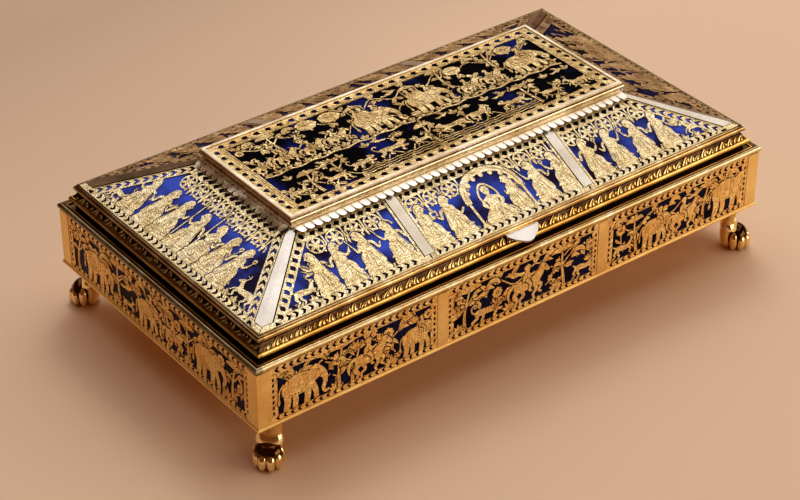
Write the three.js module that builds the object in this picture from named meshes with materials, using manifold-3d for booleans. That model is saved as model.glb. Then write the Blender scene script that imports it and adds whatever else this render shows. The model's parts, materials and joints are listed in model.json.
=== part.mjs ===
// A low rectangular jewel casket on four lion-paw feet, with a hipped lift-off lid.
// The walls and lid of gilt metal carry glass plaques, held by plain gilt strips.
// Millimetres, +Z up, origin on the floor under the middle, -Y is the front.
import * as THREE from 'three';
import { mergeVertices } from 'three/addons/utils/BufferGeometryUtils.js';
import Module from 'manifold-3d';

const wasm = await Module();
wasm.setup();

// ---- driving dimensions ----
const LENGTH = 230;          // over the faces of the strips, along X
const WIDTH = 126.6;         // over the faces of the strips, along Y
const FOOT_HEIGHT = 17.5;    // floor to the underside of the case
const BODY_HEIGHT = 24;      // underside to the top edge of the walls
const RIM_THICKNESS = 1.7;   // flange that the lid rests on
const LID_EAVES = 36;        // height of the sloping roof at its lower edge, above the underside
const LID_TOP = 52.3;        // height of the lid's flat top, above the underside
const CASE_WALL = 1.8;
const LID_WALL = 1.8;
const STRIP = 1.6;           // thickness of the plain strips over the walls
const PLAQUE = 1.1;          // thickness of the glass plaques
const CLEAR = 0.3;           // gap where sloping or turned pieces meet
const BASE_HEIGHT = 1.8;     // bead round the foot of the walls
const BEAD_BULGE = 0.5;      // how far the beads stand proud of the strips
const CORNER_WIDTH = 5.3;    // width of a corner strip on each face
const PILASTER_X = 37;       // middle of the upright strips on the long walls
const PILASTER_WIDTH = 4.3;
const EAVES_INSET = 7.4;     // from the face of the strips to the roof's lower edge
const ROOF_FOOT_X = LENGTH / 2 - EAVES_INSET;
const ROOF_FOOT_Y = WIDTH / 2 - EAVES_INSET;
const SLAB_X = 75.9;         // half length of the flat top, over its moulding
const SLAB_Y = 28.6;         // half width of the flat top
const SLAB_HEIGHT = 4.7;
const SLAB_RIM = 2;          // width of the moulding round the flat top
const FOOT_INSET_X = 6;      // middle of a paw, in from the end face
const FOOT_INSET_Y = 3.5;    // middle of a paw, in from the long face
const TOOTH_PITCH = 3.4;
const TOOTH_LENGTH = 2.9;

// ---- derived sizes ----
const HALF_X = LENGTH / 2;
const HALF_Y = WIDTH / 2;
const roofTop = LID_TOP - SLAB_HEIGHT;
const slopeEnd = (roofTop - LID_EAVES) / (ROOF_FOOT_X - (SLAB_X - 0.3));
const slopeSide = (roofTop - LID_EAVES) / (ROOF_FOOT_Y - (SLAB_Y - 0.3));
const plaqueDrop = 0.45;                       // face of a sloping plaque, below the strips
const shellDrop = plaqueDrop + PLAQUE + CLEAR; // metal roof, below the strips
const innerDrop = shellDrop + LID_WALL;        // ceiling of the lid, below the strips

// ---- finishes ----
const finish = (color, metalness, roughness) =>
  new THREE.MeshStandardMaterial({ color, metalness, roughness });
const gilt = finish(0xc9973f, 1, 0.3);
const paleGilt = finish(0xd9c68a, 1, 0.3);
const silver = finish(0xe6e4d8, 1, 0.25);
const darkGilt = finish(0x5a4322, 1, 0.3);
const glass = finish(0x10164a, 0, 0.12);

const casket = new THREE.Group();

function place(name, geometry, material) {
  const mesh = new THREE.Mesh(geometry, material);
  mesh.name = name;
  casket.add(mesh);
  return mesh;
}

// ---- mesh building ----
function signedVolume(points, triangles) {
  let sum = 0;
  for (const [a, b, c] of triangles) {
    const [p, q, r] = [points[a], points[b], points[c]];
    sum += p[0] * (q[1] * r[2] - q[2] * r[1]);
    sum += p[1] * (q[2] * r[0] - q[0] * r[2]);
    sum += p[2] * (q[0] * r[1] - q[1] * r[0]);
  }
  return sum / 6;
}

function solidOf(points, triangles) {
  const outward = signedVolume(points, triangles) > 0;
  const order = triangles.map(([a, b, c]) => (outward ? [a, b, c] : [a, c, b]));
  const geometry = new THREE.BufferGeometry();
  geometry.setAttribute('position', new THREE.Float32BufferAttribute(points.flat(), 3));
  geometry.setIndex(order.flat());
  geometry.computeVertexNormals();
  return geometry;
}

const corners = (hx, hy, z) => [[-hx, -hy, z], [hx, -hy, z], [hx, hy, z], [-hx, hy, z]];

function bandBetween(ringA, ringB) {
  const quads = [];
  for (let i = 0; i < 4; i++) {
    const j = (i + 1) % 4;
    quads.push([ringA + i, ringA + j, ringB + j], [ringA + i, ringB + j, ringB + i]);
  }
  return quads;
}

// A moulding mitred round a rectangle: the profile is a closed list of [inset, height].
function mitredFrame(halfX, halfY, profile) {
  const points = profile.flatMap(([inset, z]) => corners(halfX - inset, halfY - inset, z));
  const triangles = profile.flatMap((_, k) => bandBetween(4 * k, 4 * ((k + 1) % profile.length)));
  return solidOf(points, triangles);
}

// A hollow rectangular shell: the rings run from the middle of the inside to that of the outside.
function nestedShell(rings) {
  const points = rings.flatMap(([hx, hy, z]) => corners(hx, hy, z));
  const last = 4 * (rings.length - 1);
  const triangles = [[0, 2, 1], [0, 3, 2], [last, last + 1, last + 2], [last, last + 2, last + 3]];
  for (let k = 0; k + 1 < rings.length; k++) {
    triangles.push(...bandBetween(4 * k, 4 * (k + 1)));
  }
  return solidOf(points, triangles);
}

function block(x0, x1, y0, y1, z0, z1) {
  const geometry = new THREE.BoxGeometry(x1 - x0, y1 - y0, z1 - z0);
  return geometry.translate((x0 + x1) / 2, (y0 + y1) / 2, (z0 + z1) / 2);
}

function arc(cx, cz, radius, from, to, steps) {
  return Array.from({ length: steps + 1 }, (_, i) => {
    const angle = THREE.MathUtils.degToRad(from + ((to - from) * i) / steps);
    return [cx + radius * Math.cos(angle), cz + radius * Math.sin(angle)];
  });
}

const above = (height) => FOOT_HEIGHT + height;
const lift = (profile) => profile.map(([inset, height]) => [inset, above(height)]);

// ---- case: a plain tray ----
function caseTray() {
  const [outX, outY] = [HALF_X - STRIP, HALF_Y - STRIP];
  const [inX, inY] = [outX - CASE_WALL, outY - CASE_WALL];
  place('case', nestedShell([
    [inX, inY, above(CASE_WALL)],
    [inX, inY, above(BODY_HEIGHT)],
    [outX, outY, above(BODY_HEIGHT)],
    [outX, outY, above(0)],
  ]), gilt);
}

// ---- half-round bead round the foot of the walls ----
function baseMoulding() {
  const bead = arc(0.4, BASE_HEIGHT / 2, BASE_HEIGHT / 2, 270, 90, 6);
  const profile = [[STRIP, 0], ...bead, [STRIP, BASE_HEIGHT]];
  place('base_moulding', mitredFrame(HALF_X, HALF_Y, lift(profile)), gilt);
}

// ---- rim: outer bead, flat ledge for the lid, and a low upstand inside the lid ----
const LEDGE = BODY_HEIGHT + RIM_THICKNESS;
const LIP_INSET = 6.6;
const LIP_WIDTH = 0.8;
const LIP_RISE = 1.9;

function rimMoulding() {
  const radius = 1.3;
  const bead = arc(radius - BEAD_BULGE, BODY_HEIGHT + radius, radius, 270, 90, 8);
  const profile = [
    ...bead,
    [1.7, LEDGE + 0.5], [2.1, LEDGE], [LIP_INSET, LEDGE],
    [LIP_INSET, LEDGE + LIP_RISE], [LIP_INSET + LIP_WIDTH, LEDGE + LIP_RISE],
    [LIP_INSET + LIP_WIDTH, BODY_HEIGHT],
  ];
  place('rim_moulding', mitredFrame(HALF_X, HALF_Y, lift(profile)), darkGilt);
}

// ---- strips and plaques on the four walls ----
const WALL_LOW = above(BASE_HEIGHT);
const WALL_HIGH = above(BODY_HEIGHT);

function cornerStrip(name, sx, sy) {
  const [x, y] = [HALF_X, HALF_Y];
  const outline = [
    [x, y], [x - CORNER_WIDTH, y], [x - CORNER_WIDTH, y - STRIP],
    [x - STRIP, y - STRIP], [x - STRIP, y - CORNER_WIDTH], [x, y - CORNER_WIDTH],
  ];
  const points = [WALL_LOW, WALL_HIGH].flatMap((z) => outline.map(([px, py]) => [sx * px, sy * py, z]));
  const count = outline.length;
  const cap = [[0, 1, 2], [0, 2, 3], [0, 3, 4], [0, 4, 5]];
  const triangles = [...cap, ...cap.map(([a, b, c]) => [a + count, c + count, b + count])];
  for (let i = 0; i < count; i++) {
    const j = (i + 1) % count;
    triangles.push([j, i, j + count], [i, i + count, j + count]);
  }
  place(name, solidOf(points, triangles), gilt);
}

function wallStrips() {
  for (const [row, sy] of [['front', -1], ['back', 1]]) {
    for (const [side, sx] of [['left', -1], ['right', 1]]) {
      cornerStrip(`corner_strip_${row}_${side}`, sx, sy);
      const x = sx * PILASTER_X;
      const faces = [sy * (HALF_Y - STRIP), sy * HALF_Y].sort((a, b) => a - b);
      const half = PILASTER_WIDTH / 2;
      place(`pilaster_${row}_${side}`, block(x - half, x + half, ...faces, WALL_LOW, WALL_HIGH), gilt);
    }
  }
}

function wallPlaques() {
  const end = HALF_X - CORNER_WIDTH;
  const gap = PILASTER_WIDTH / 2;
  const bays = [
    ['left', -end, -PILASTER_X - gap],
    ['middle', -PILASTER_X + gap, PILASTER_X - gap],
    ['right', PILASTER_X + gap, end],
  ];
  const deep = STRIP;
  const proud = STRIP - PLAQUE;
  for (const [row, sy] of [['front', -1], ['back', 1]]) {
    const faces = [sy * (HALF_Y - deep), sy * (HALF_Y - proud)].sort((a, b) => a - b);
    for (const [bay, x0, x1] of bays) {
      place(`wall_plaque_${row}_${bay}`, block(x0, x1, ...faces, WALL_LOW, WALL_HIGH), glass);
    }
  }
  for (const [side, sx] of [['left', -1], ['right', 1]]) {
    const faces = [sx * (HALF_X - deep), sx * (HALF_X - proud)].sort((a, b) => a - b);
    const half = HALF_Y - CORNER_WIDTH;
    place(`wall_plaque_end_${side}`, block(...faces, -half, half, WALL_LOW, WALL_HIGH), glass);
  }
}

// ---- feet: cast lion paws on short flattened legs, the toes pointing out at each corner ----
function manifoldOf(geometry) {
  const bare = geometry.clone();
  bare.deleteAttribute('normal');
  bare.deleteAttribute('uv');
  const merged = mergeVertices(bare, 1e-4);
  return new wasm.Manifold(new wasm.Mesh({
    numProp: 3,
    vertProperties: new Float32Array(merged.attributes.position.array),
    triVerts: new Uint32Array(merged.index.array),
  }));
}

function geometryOf(manifold) {
  const mesh = manifold.getMesh();
  const geometry = new THREE.BufferGeometry();
  geometry.setAttribute('position', new THREE.BufferAttribute(mesh.vertProperties, 3));
  geometry.setIndex(new THREE.BufferAttribute(mesh.triVerts, 1));
  geometry.computeVertexNormals();
  return geometry;
}

function egg(rx, ry, rz, x, y, z, turns, bands) {
  return new THREE.SphereGeometry(1, turns, bands)
    .rotateX(Math.PI / 2)
    .scale(rx, ry, rz)
    .translate(x, y, z);
}

// Built with the toes along +X and the middle of the paw on the Z axis.
function pawGeometry() {
  const legProfile = [[0, 5], [4.4, 5], [4.5, 9], [4.8, 13], [5.1, FOOT_HEIGHT], [0, FOOT_HEIGHT]];
  const leg = new THREE.LatheGeometry(legProfile.map(([r, z]) => new THREE.Vector2(r, z)), 14)
    .rotateX(Math.PI / 2)
    .scale(0.66, 1, 1)
    .translate(-4, 0, 0);
  let paw = manifoldOf(leg).add(manifoldOf(egg(5.6, 6.2, 5.2, -0.3, 0, 9.2, 14, 8)));
  for (const degrees of [-63, -21, 21, 63]) {
    const toe = egg(3.1, 1.9, 4.4, 3.7, 0, 3.9, 8, 6).rotateZ(THREE.MathUtils.degToRad(degrees));
    paw = paw.add(manifoldOf(toe));
  }
  paw = paw.add(manifoldOf(egg(4.6, 5.4, 5, -1, 0, 4.4, 12, 6)));
  const below = manifoldOf(block(-20, 20, -20, 20, -10, 0));
  return geometryOf(paw.subtract(below));
}

function feet() {
  const paw = pawGeometry();
  const turn = { front_right: -45, back_right: 45, back_left: 135, front_left: -135 };
  for (const [corner, degrees] of Object.entries(turn)) {
    const sx = corner.endsWith('right') ? 1 : -1;
    const sy = corner.startsWith('back') ? 1 : -1;
    const foot = place(`foot_${corner}`, paw, gilt);
    foot.rotation.z = THREE.MathUtils.degToRad(degrees);
    foot.position.set(sx * (HALF_X - FOOT_INSET_X), sy * (HALF_Y - FOOT_INSET_Y), 0);
  }
}

// ---- lid: a hollow hipped roof with a raised flat top ----
// Half sizes of the roof's rectangle at a height, on a layer that lies a given drop below the strips.
const roofHalf = (height, drop) => [
  ROOF_FOOT_X - (height + drop - LID_EAVES) / slopeEnd,
  ROOF_FOOT_Y - (height + drop - LID_EAVES) / slopeSide,
];
const roofHeight = (x, y) => above(LID_EAVES + Math.min(
  (ROOF_FOOT_X - Math.abs(x)) * slopeEnd,
  (ROOF_FOOT_Y - Math.abs(y)) * slopeSide,
));

const LID_INSET = 4.4;       // lid's lower edge, in from the face of the strips
const NECK_LOW = 28.6;       // the lower moulding sits in a recess between these heights
const NECK_HIGH = 31.5;
const NECK_INSET = 5.4;
const BEAD_LOW = 33.9;       // underside of the bead at the eaves

function lidShell() {
  const ring = (inset, height) => [HALF_X - inset, HALF_Y - inset, above(height)];
  const roofRing = (height, drop) => [...roofHalf(height, drop), above(height)];
  const cove = arc(NECK_INSET + 2, NECK_HIGH, 2, 180, 110, 4);
  const platform = LID_TOP - 0.7 - PLAQUE;
  const [slabX, slabY] = [SLAB_X - SLAB_RIM, SLAB_Y - SLAB_RIM];
  const ceiling = platform - LID_WALL;
  const innerTop = roofHalf(45.2, innerDrop);
  place('lid_shell', nestedShell([
    [...innerTop, above(ceiling)],
    [...innerTop, above(45.2)],
    roofRing(BEAD_LOW - 0.6, innerDrop),
    ring(LID_INSET + 1.9, NECK_LOW),
    ring(LID_INSET + 1.9, LEDGE),
    ring(LID_INSET, LEDGE),
    ring(LID_INSET, NECK_LOW),
    ring(NECK_INSET, NECK_LOW),
    ...cove.map(([inset, height]) => ring(inset, height)),
    [...roofHalf(34.4, shellDrop), above(BEAD_LOW)],
    roofRing(34.4, shellDrop),
    roofRing(46.2, shellDrop),
    [slabX, slabY, above(46.2)],
    [slabX, slabY, above(platform)],
  ]), darkGilt);
}

function lidMouldings() {
  const lower = [
    [NECK_INSET, NECK_LOW],
    ...arc(4.5, NECK_LOW + 1.1, 1.1, 270, 110, 6),
    [4, NECK_HIGH - 0.6], [4.3, NECK_HIGH], [NECK_INSET, NECK_HIGH],
  ];
  place('lid_lower_moulding', mitredFrame(HALF_X, HALF_Y, lift(lower)), paleGilt);
  const eaves = [
    [EAVES_INSET + 0.3, BEAD_LOW],
    ...arc(7.1, BEAD_LOW + 1.3, 1.2, 250, 100, 6),
    [EAVES_INSET + 0.3, LID_EAVES + 0.3],
  ];
  place('eaves_bead', mitredFrame(HALF_X, HALF_Y, lift(eaves)), paleGilt);
}

// A plate on the roof: panels are plan polygons, each lying on one slope, that share whole edges.
function roofPlate(panels, upperDrop, lowerDrop) {
  const plan = [];
  const indexOf = (point) => {
    const found = plan.findIndex(([x, y]) => Math.hypot(x - point[0], y - point[1]) < 1e-6);
    return found >= 0 ? found : plan.push(point) - 1;
  };
  const loops = panels.map((panel) => {
    const flat = panel.map(([x, y]) => new THREE.Vector2(x, y));
    const loop = panel.map(indexOf);
    return THREE.ShapeUtils.isClockWise(flat) ? loop.reverse() : loop;
  });
  const edges = new Map();
  for (const loop of loops) {
    loop.forEach((a, i) => edges.set(`${a} ${loop[(i + 1) % loop.length]}`, [a, loop[(i + 1) % loop.length]]));
  }
  const count = plan.length;
  const triangles = loops.flatMap((loop) => {
    const flat = loop.map((i) => new THREE.Vector2(...plan[i]));
    return THREE.ShapeUtils.triangulateShape(flat, []).map((t) => t.map((k) => loop[k]));
  });
  const lower = triangles.map(([a, b, c]) => [a + count, c + count, b + count]);
  for (const [a, b] of edges.values()) {
    if (!edges.has(`${b} ${a}`)) {
      lower.push([a, b + count, b], [a, a + count, b + count]);
    }
  }
  const points = [upperDrop, lowerDrop].flatMap((drop) => plan.map(([x, y]) => [x, y, roofHeight(x, y) - drop]));
  return solidOf(points, [...triangles, ...lower]);
}

const PLATE_FOOT = 0.5;       // plates start this far up from the roof's lower edge, in plan
const HIP_FOOT_HALF = 3;      // half width of a hip strip at its foot and head
const HIP_HEAD_HALF = 1.6;
const DIVIDER_WIDTH = 4.2;
const DIVIDER_LEAN = 0.6;     // the front pair lean a little to the right
const stripThickness = PLAQUE + plaqueDrop;

const hipFoot = [ROOF_FOOT_X - PLATE_FOOT, ROOF_FOOT_Y - (PLATE_FOOT * slopeEnd) / slopeSide];
const hipHead = [SLAB_X, ROOF_FOOT_Y - ((ROOF_FOOT_X - SLAB_X) * slopeEnd) / slopeSide];
const hipLength = Math.hypot(hipFoot[0] - hipHead[0], hipFoot[1] - hipHead[1]);
const alongHip = [(hipHead[0] - hipFoot[0]) / hipLength, (hipHead[1] - hipFoot[1]) / hipLength];

// Where a line beside the hip, at given half widths, meets the roof's foot or head on a long side or an end.
function besideHip(side, widen) {
  const across = side === 'long' ? [alongHip[1], -alongHip[0]] : [-alongHip[1], alongHip[0]];
  const foot = hipFoot.map((v, k) => v - across[k] * (HIP_FOOT_HALF + widen) * -1);
  const head = hipHead.map((v, k) => v - across[k] * (HIP_HEAD_HALF + widen) * -1);
  const axis = side === 'long' ? 1 : 0;
  const at = (level) => {
    const t = (level - foot[axis]) / (head[axis] - foot[axis]);
    return foot.map((v, k) => v + (head[k] - v) * t);
  };
  return [at(hipFoot[axis]), at(hipHead[axis])];
}

const mirrored = (points, sx, sy) => points.map(([x, y]) => [sx * x, sy * y]);

function hipStrips() {
  const [longFoot, longHead] = besideHip('long', 0);
  const [endFoot, endHead] = besideHip('end', 0);
  for (const [row, sy] of [['front', -1], ['back', 1]]) {
    for (const [side, sx] of [['left', -1], ['right', 1]]) {
      const panels = [[hipFoot, hipHead, longHead, longFoot], [hipFoot, endFoot, endHead, hipHead]];
      const plate = roofPlate(panels.map((p) => mirrored(p, sx, sy)), 0, stripThickness);
      place(`hip_strip_${row}_${side}`, plate, row === 'front' && side === 'left' ? silver : paleGilt);
    }
  }
}

const dividerEdge = (sx, lean, edge) => [
  [sx * PILASTER_X - lean - 0.8 * sx + edge, hipFoot[1]],
  [sx * PILASTER_X + lean - 0.8 * sx + edge, hipHead[1]],
];

function dividersAndRoofPlaques() {
  const half = DIVIDER_WIDTH / 2;
  const [longFoot, longHead] = besideHip('long', CLEAR);
  const [endFoot, endHead] = besideHip('end', CLEAR);
  for (const [row, sy] of [['front', -1], ['back', 1]]) {
    const lean = row === 'front' ? DIVIDER_LEAN : 0;
    const onRow = (points) => mirrored(points, 1, sy);
    for (const [side, sx] of [['left', -1], ['right', 1]]) {
      const near = dividerEdge(sx, lean, -half);
      const far = dividerEdge(sx, lean, half).reverse();
      place(`divider_${row}_${side}`, roofPlate([onRow([...near, ...far])], 0, stripThickness), paleGilt);
      const outer = dividerEdge(sx, lean, sx * (half + CLEAR));
      const hip = mirrored([longHead, longFoot], sx, 1);
      const panel = roofPlate([onRow([...outer, ...hip])], plaqueDrop, stripThickness);
      place(`roof_plaque_${row}_${side}`, panel, glass);
    }
    const left = dividerEdge(-1, lean, half + CLEAR);
    const right = dividerEdge(1, lean, -half - CLEAR).reverse();
    const middle = roofPlate([onRow([...left, ...right])], plaqueDrop, stripThickness);
    place(`roof_plaque_${row}_middle`, middle, glass);
  }
  for (const [side, sx] of [['left', -1], ['right', 1]]) {
    const outline = [endFoot, endHead, [endHead[0], -endHead[1]], [endFoot[0], -endFoot[1]]];
    const panel = roofPlate([mirrored(outline, sx, 1)], plaqueDrop, stripThickness);
    place(`roof_plaque_end_${side}`, panel, glass);
  }
}

// ---- toothed collar under the flat top, one strip to a side ----
const TOOTH_TILT = 28;        // degrees below level

function collar(halfLength) {
  const count = Math.floor((2 * halfLength) / TOOTH_PITCH);
  const start = -(count * TOOTH_PITCH) / 2;
  const root = 0.7;
  const outline = [];
  for (let i = 0; i < count; i++) {
    const x = start + i * TOOTH_PITCH;
    outline.push([x + 0.2, -root], [x + 0.4, -TOOTH_LENGTH], [x + 2.6, -TOOTH_LENGTH], [x + 2.9, -root]);
  }
  const shape = new THREE.Shape([
    new THREE.Vector2(start, 0),
    ...outline.map(([x, y]) => new THREE.Vector2(x, y)),
    new THREE.Vector2(-start, 0),
  ]);
  return new THREE.ExtrudeGeometry(shape, { depth: 0.5, bevelEnabled: false });
}

function cresting() {
  const sides = [
    ['front', 0, SLAB_X, SLAB_Y], ['right', 90, SLAB_Y, SLAB_X],
    ['back', 180, SLAB_X, SLAB_Y], ['left', 270, SLAB_Y, SLAB_X],
  ];
  for (const [side, degrees, halfLength, reach] of sides) {
    const strip = collar(halfLength - 0.8)
      .rotateX(THREE.MathUtils.degToRad(TOOTH_TILT))
      .translate(0, -(reach + CLEAR), above(roofTop + 0.4))
      .rotateZ(THREE.MathUtils.degToRad(degrees));
    place(`cresting_${side}`, strip, silver);
  }
}

// ---- flat top: moulded frame round one large plaque ----
function flatTop() {
  const z = LID_TOP;
  const profile = [
    [SLAB_RIM, roofTop], [0.5, roofTop], [0.3, roofTop + 0.3], [0.4, roofTop + 0.7],
    [1, roofTop + 1.1], [1.1, roofTop + 1.6], [0.6, roofTop + 2],
    ...arc(0.8, z - 1.7, 0.8, 240, 120, 5),
    [0.7, z - 0.75], [0.5, z - 0.5], [0.6, z - 0.1], [0.8, z], [SLAB_RIM, z],
  ];
  place('top_frame', mitredFrame(SLAB_X, SLAB_Y, lift(profile)), gilt);
  const [x, y] = [SLAB_X - SLAB_RIM, SLAB_Y - SLAB_RIM];
  place('top_plaque', block(-x, x, -y, y, above(z - 0.7 - PLAQUE), above(z - 0.7)), glass);
}

// ---- thumb-piece: a small leaf-shaped tab under the eaves, over the ledge ----
function thumbPiece() {
  const shape = new THREE.Shape();
  shape.moveTo(-7.4, 0);
  shape.bezierCurveTo(-7.2, -2.2, -4.6, -4.2, -2.6, -5.4);
  shape.quadraticCurveTo(0, -7.2, 2.6, -5.4);
  shape.bezierCurveTo(4.6, -4.2, 7.2, -2.2, 7.4, 0);
  const tab = new THREE.ExtrudeGeometry(shape, { depth: 0.9, bevelEnabled: false, curveSegments: 6 })
    .rotateX(THREE.MathUtils.degToRad(20))
    .translate(1.6, -(HALF_Y - 5.1), above(32.3));
  place('thumb_piece', tab, silver);
}

caseTray();
baseMoulding();
rimMoulding();
wallStrips();
wallPlaques();
feet();
lidShell();
lidMouldings();
hipStrips();
dividersAndRoofPlaques();
cresting();
flatTop();
thumbPiece();

export default casket;
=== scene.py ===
import json
from math import atan2, cos, floor, hypot, pi, radians, sin

import bpy
import numpy as np
from mathutils import Matrix, Vector
from mathutils.geometry import delaunay_2d_cdt

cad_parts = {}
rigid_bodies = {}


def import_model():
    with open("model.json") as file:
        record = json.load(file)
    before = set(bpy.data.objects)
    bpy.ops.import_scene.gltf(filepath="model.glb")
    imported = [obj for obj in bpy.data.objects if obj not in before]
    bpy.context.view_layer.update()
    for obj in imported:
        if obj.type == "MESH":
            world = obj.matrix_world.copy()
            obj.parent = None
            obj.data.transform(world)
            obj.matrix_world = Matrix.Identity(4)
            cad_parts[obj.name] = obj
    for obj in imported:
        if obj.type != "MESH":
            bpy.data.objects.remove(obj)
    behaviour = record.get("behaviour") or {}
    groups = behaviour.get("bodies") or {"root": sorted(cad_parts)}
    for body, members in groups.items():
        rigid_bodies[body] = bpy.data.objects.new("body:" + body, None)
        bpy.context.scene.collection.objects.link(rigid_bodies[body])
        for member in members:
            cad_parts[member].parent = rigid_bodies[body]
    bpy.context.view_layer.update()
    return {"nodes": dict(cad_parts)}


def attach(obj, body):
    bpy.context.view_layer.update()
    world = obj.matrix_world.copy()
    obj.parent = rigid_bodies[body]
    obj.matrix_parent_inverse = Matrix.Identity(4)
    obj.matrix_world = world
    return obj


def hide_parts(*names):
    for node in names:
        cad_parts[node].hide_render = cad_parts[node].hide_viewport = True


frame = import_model()

# ---- camera ----
# It looks down on the left front corner, with the whole casket in view.
MM = 0.001
view_azimuth, view_elevation, view_distance = radians(-37.38), radians(34.25), 867.9 * MM
towards_camera = Vector((
    sin(view_azimuth) * cos(view_elevation),
    -cos(view_azimuth) * cos(view_elevation),
    sin(view_elevation),
))
camera_data = bpy.data.cameras.new("camera")
camera_data.sensor_width = 36
camera_data.lens = 104.8
camera = bpy.data.objects.new("camera", camera_data)
camera.location = Vector((-11.3, -5.2, 17.5)) * MM + towards_camera * view_distance
camera.rotation_euler = (pi / 2 - view_elevation, 0, view_azimuth)
bpy.context.scene.collection.objects.link(camera)
bpy.context.scene.camera = camera


# ---- floor ----
# A plain sheet of warm beige paper, faintly uneven in its tone, with painted shade darkening it behind the
# casket.
# Wire is a node's output that sums can be written with, and Finish makes a material's nodes.
class Wire:
    def __init__(self, finish, socket):
        self.finish, self.socket = finish, socket

    def _sum(self, operation, first, second):
        return self.finish.node("ShaderNodeMath", {"operation": operation}, {0: first, 1: second})

    def __add__(self, other):
        return self._sum("ADD", self, other)

    def __sub__(self, other):
        return self._sum("SUBTRACT", self, other)

    def __rsub__(self, other):
        return self._sum("SUBTRACT", other, self)

    def __mul__(self, other):
        return self._sum("MULTIPLY", self, other)

    __radd__ = __add__
    __rmul__ = __mul__


class Finish:
    def __init__(self, name):
        self.material = bpy.data.materials.new(name)
        self.material.use_nodes = True
        self.nodes = self.material.node_tree.nodes
        self.shader = self.nodes["Principled BSDF"]

    def node(self, kind, settings=None, inputs=None, output=0):
        made = self.nodes.new(kind)
        for name, value in (settings or {}).items():
            setattr(made, name, value)
        for name, value in (inputs or {}).items():
            self.link(made.inputs[name], value)
        return Wire(self, made.outputs[output])

    def link(self, socket, value):
        if isinstance(value, Wire):
            self.material.node_tree.links.new(value.socket, socket)
        else:
            socket.default_value = value

    def set(self, **values):
        for name, value in values.items():
            self.link(self.shader.inputs[name.replace("_", " ")], value)

    def place(self, scale=(1, 1, 1)):
        where = self.node("ShaderNodeTexCoord", output="Object")
        return self.node("ShaderNodeMapping", inputs={"Vector": where, "Scale": scale})

    def along(self, axis):
        return self.node("ShaderNodeSeparateXYZ", inputs={0: self.place()}, output=axis)

    def cloud(self, scale, detail=3.0, stretch=(1, 1, 1), warp=0.0):
        inputs = {"Vector": self.place(stretch), "Scale": scale, "Detail": detail, "Distortion": warp}
        return self.node("ShaderNodeTexNoise", inputs=inputs)

    def between(self, wire, low, high, to_low=0.0, to_high=1.0):
        inputs = {"Value": wire, "From Min": low, "From Max": high, "To Min": to_low, "To Max": to_high}
        return self.node("ShaderNodeMapRange", inputs=inputs)

    def blend(self, share, first, second):
        first, second = ((*c, 1) if isinstance(c, tuple) else c for c in (first, second))
        return self.node("ShaderNodeMix", {"data_type": "RGBA"}, {0: share, 6: first, 7: second}, 2)

    def bumps(self, height, depth, strength=1.0):
        inputs = {"Height": height, "Distance": depth, "Strength": strength}
        return self.node("ShaderNodeBump", inputs=inputs)


bpy.ops.object.select_all(action="DESELECT")
bpy.ops.mesh.primitive_plane_add(size=6.0)
paper = bpy.context.object
paper.name = "floor"
paper_finish = Finish("beige_paper")
near_tone = paper_finish.blend(paper_finish.cloud(3), (0.84, 0.645, 0.475), (0.87, 0.67, 0.495))
# Painted shade: the paper darkens behind the casket, away from the camera.
painted_shade_behind = paper_finish.between(paper_finish.along(1), 0.12, 0.25)
paper_finish.set(
    Base_Color=paper_finish.blend(painted_shade_behind, near_tone, (0.62, 0.475, 0.355)),
    Roughness=0.75,
    Normal=paper_finish.bumps(paper_finish.cloud(900), 0.00002),
)
paper.data.materials.append(paper_finish.material)


# ---- case: tray, foot moulding, rim, corner strips and upright strips ----
# Gilt metal, burnished to a soft shine. The strips are plain; the rim is a rounded moulding,
# rubbed in places, with a ledge inside it that the lid stands on, painted near black as shade.
def gilding(name, bright, deep, rough, rubbed=None, skin_depth=0.00005, shaded_ledge=None, shaded_sides=()):
    """Burnished gilding: cloudy in tone, finely rubbed, over a slightly uneven skin. Painted shade
    makes it near black inside the shaded ledge, a half length and half width in mm, and darker and
    browner on the shaded sides: each is a direction in x and y, where it starts in mm, and how much shine
    is left."""
    finish = Finish(name)
    tone = finish.cloud(90, 4)
    streak = finish.cloud(700, 2, (1, 1, 0.18))
    skin = finish.cloud(200, 3)
    specks = finish.between(finish.cloud(1300, 2), 0.6, 0.72)
    colour = finish.blend(finish.between(tone, 0.35, 0.65), deep, bright)
    colour = finish.blend(specks * 0.3, colour, tuple(c * 0.35 for c in deep))
    if rubbed:
        colour = finish.blend(finish.between(finish.cloud(160, 3), 0.54, 0.7) * 0.7, colour, rubbed)
    # Painted shade: inside the ledge, where the lid's shadow falls, the colour goes near black.
    if shaded_ledge:
        outside = [
            finish.node("ShaderNodeMath", {"operation": "ABSOLUTE"}, {0: finish.along(axis)}) - half * MM
            for axis, half in enumerate(shaded_ledge)
        ]
        outside = finish.node("ShaderNodeMath", {"operation": "MAXIMUM"}, dict(enumerate(outside)))
        painted_ledge_shade = tuple(c * 0.16 for c in deep)
        colour = finish.blend(finish.between(outside, -0.0001, 0.0001), painted_ledge_shade, colour)
    # Painted shade: each shaded side, turned from the light, is darkened towards brown-black.
    for east, north, start, left in shaded_sides:
        outward = finish.along(0) * east + finish.along(1) * north
        side_shade = finish.between(outward, (start - 0.3) * MM, (start + 0.3) * MM)
        colour = finish.blend(side_shade * (1 - left), colour, tuple(c * 0.12 for c in deep))
    finish.set(
        Base_Color=colour, Metallic=1.0,
        Roughness=finish.between(streak + tone * 0.6, 0.4, 1.2, rough * 0.7, rough * 1.4),
        Normal=finish.bumps(skin + streak * 0.25, skin_depth),
    )
    return finish.material


warm_gilt = gilding("warm_gilt", (1.0, 0.75, 0.34), (0.90, 0.61, 0.23), 0.42)
# A darkened copy of the gilt, painted shade for the back left hip strip.
dark_gilt = gilding("dark_gilt", (0.17, 0.11, 0.06), (0.06, 0.035, 0.02), 0.3)


def finished(material, *names):
    for name in names:
        slots = frame["nodes"][name].data.materials
        slots.clear()
        slots.append(material)


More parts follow.
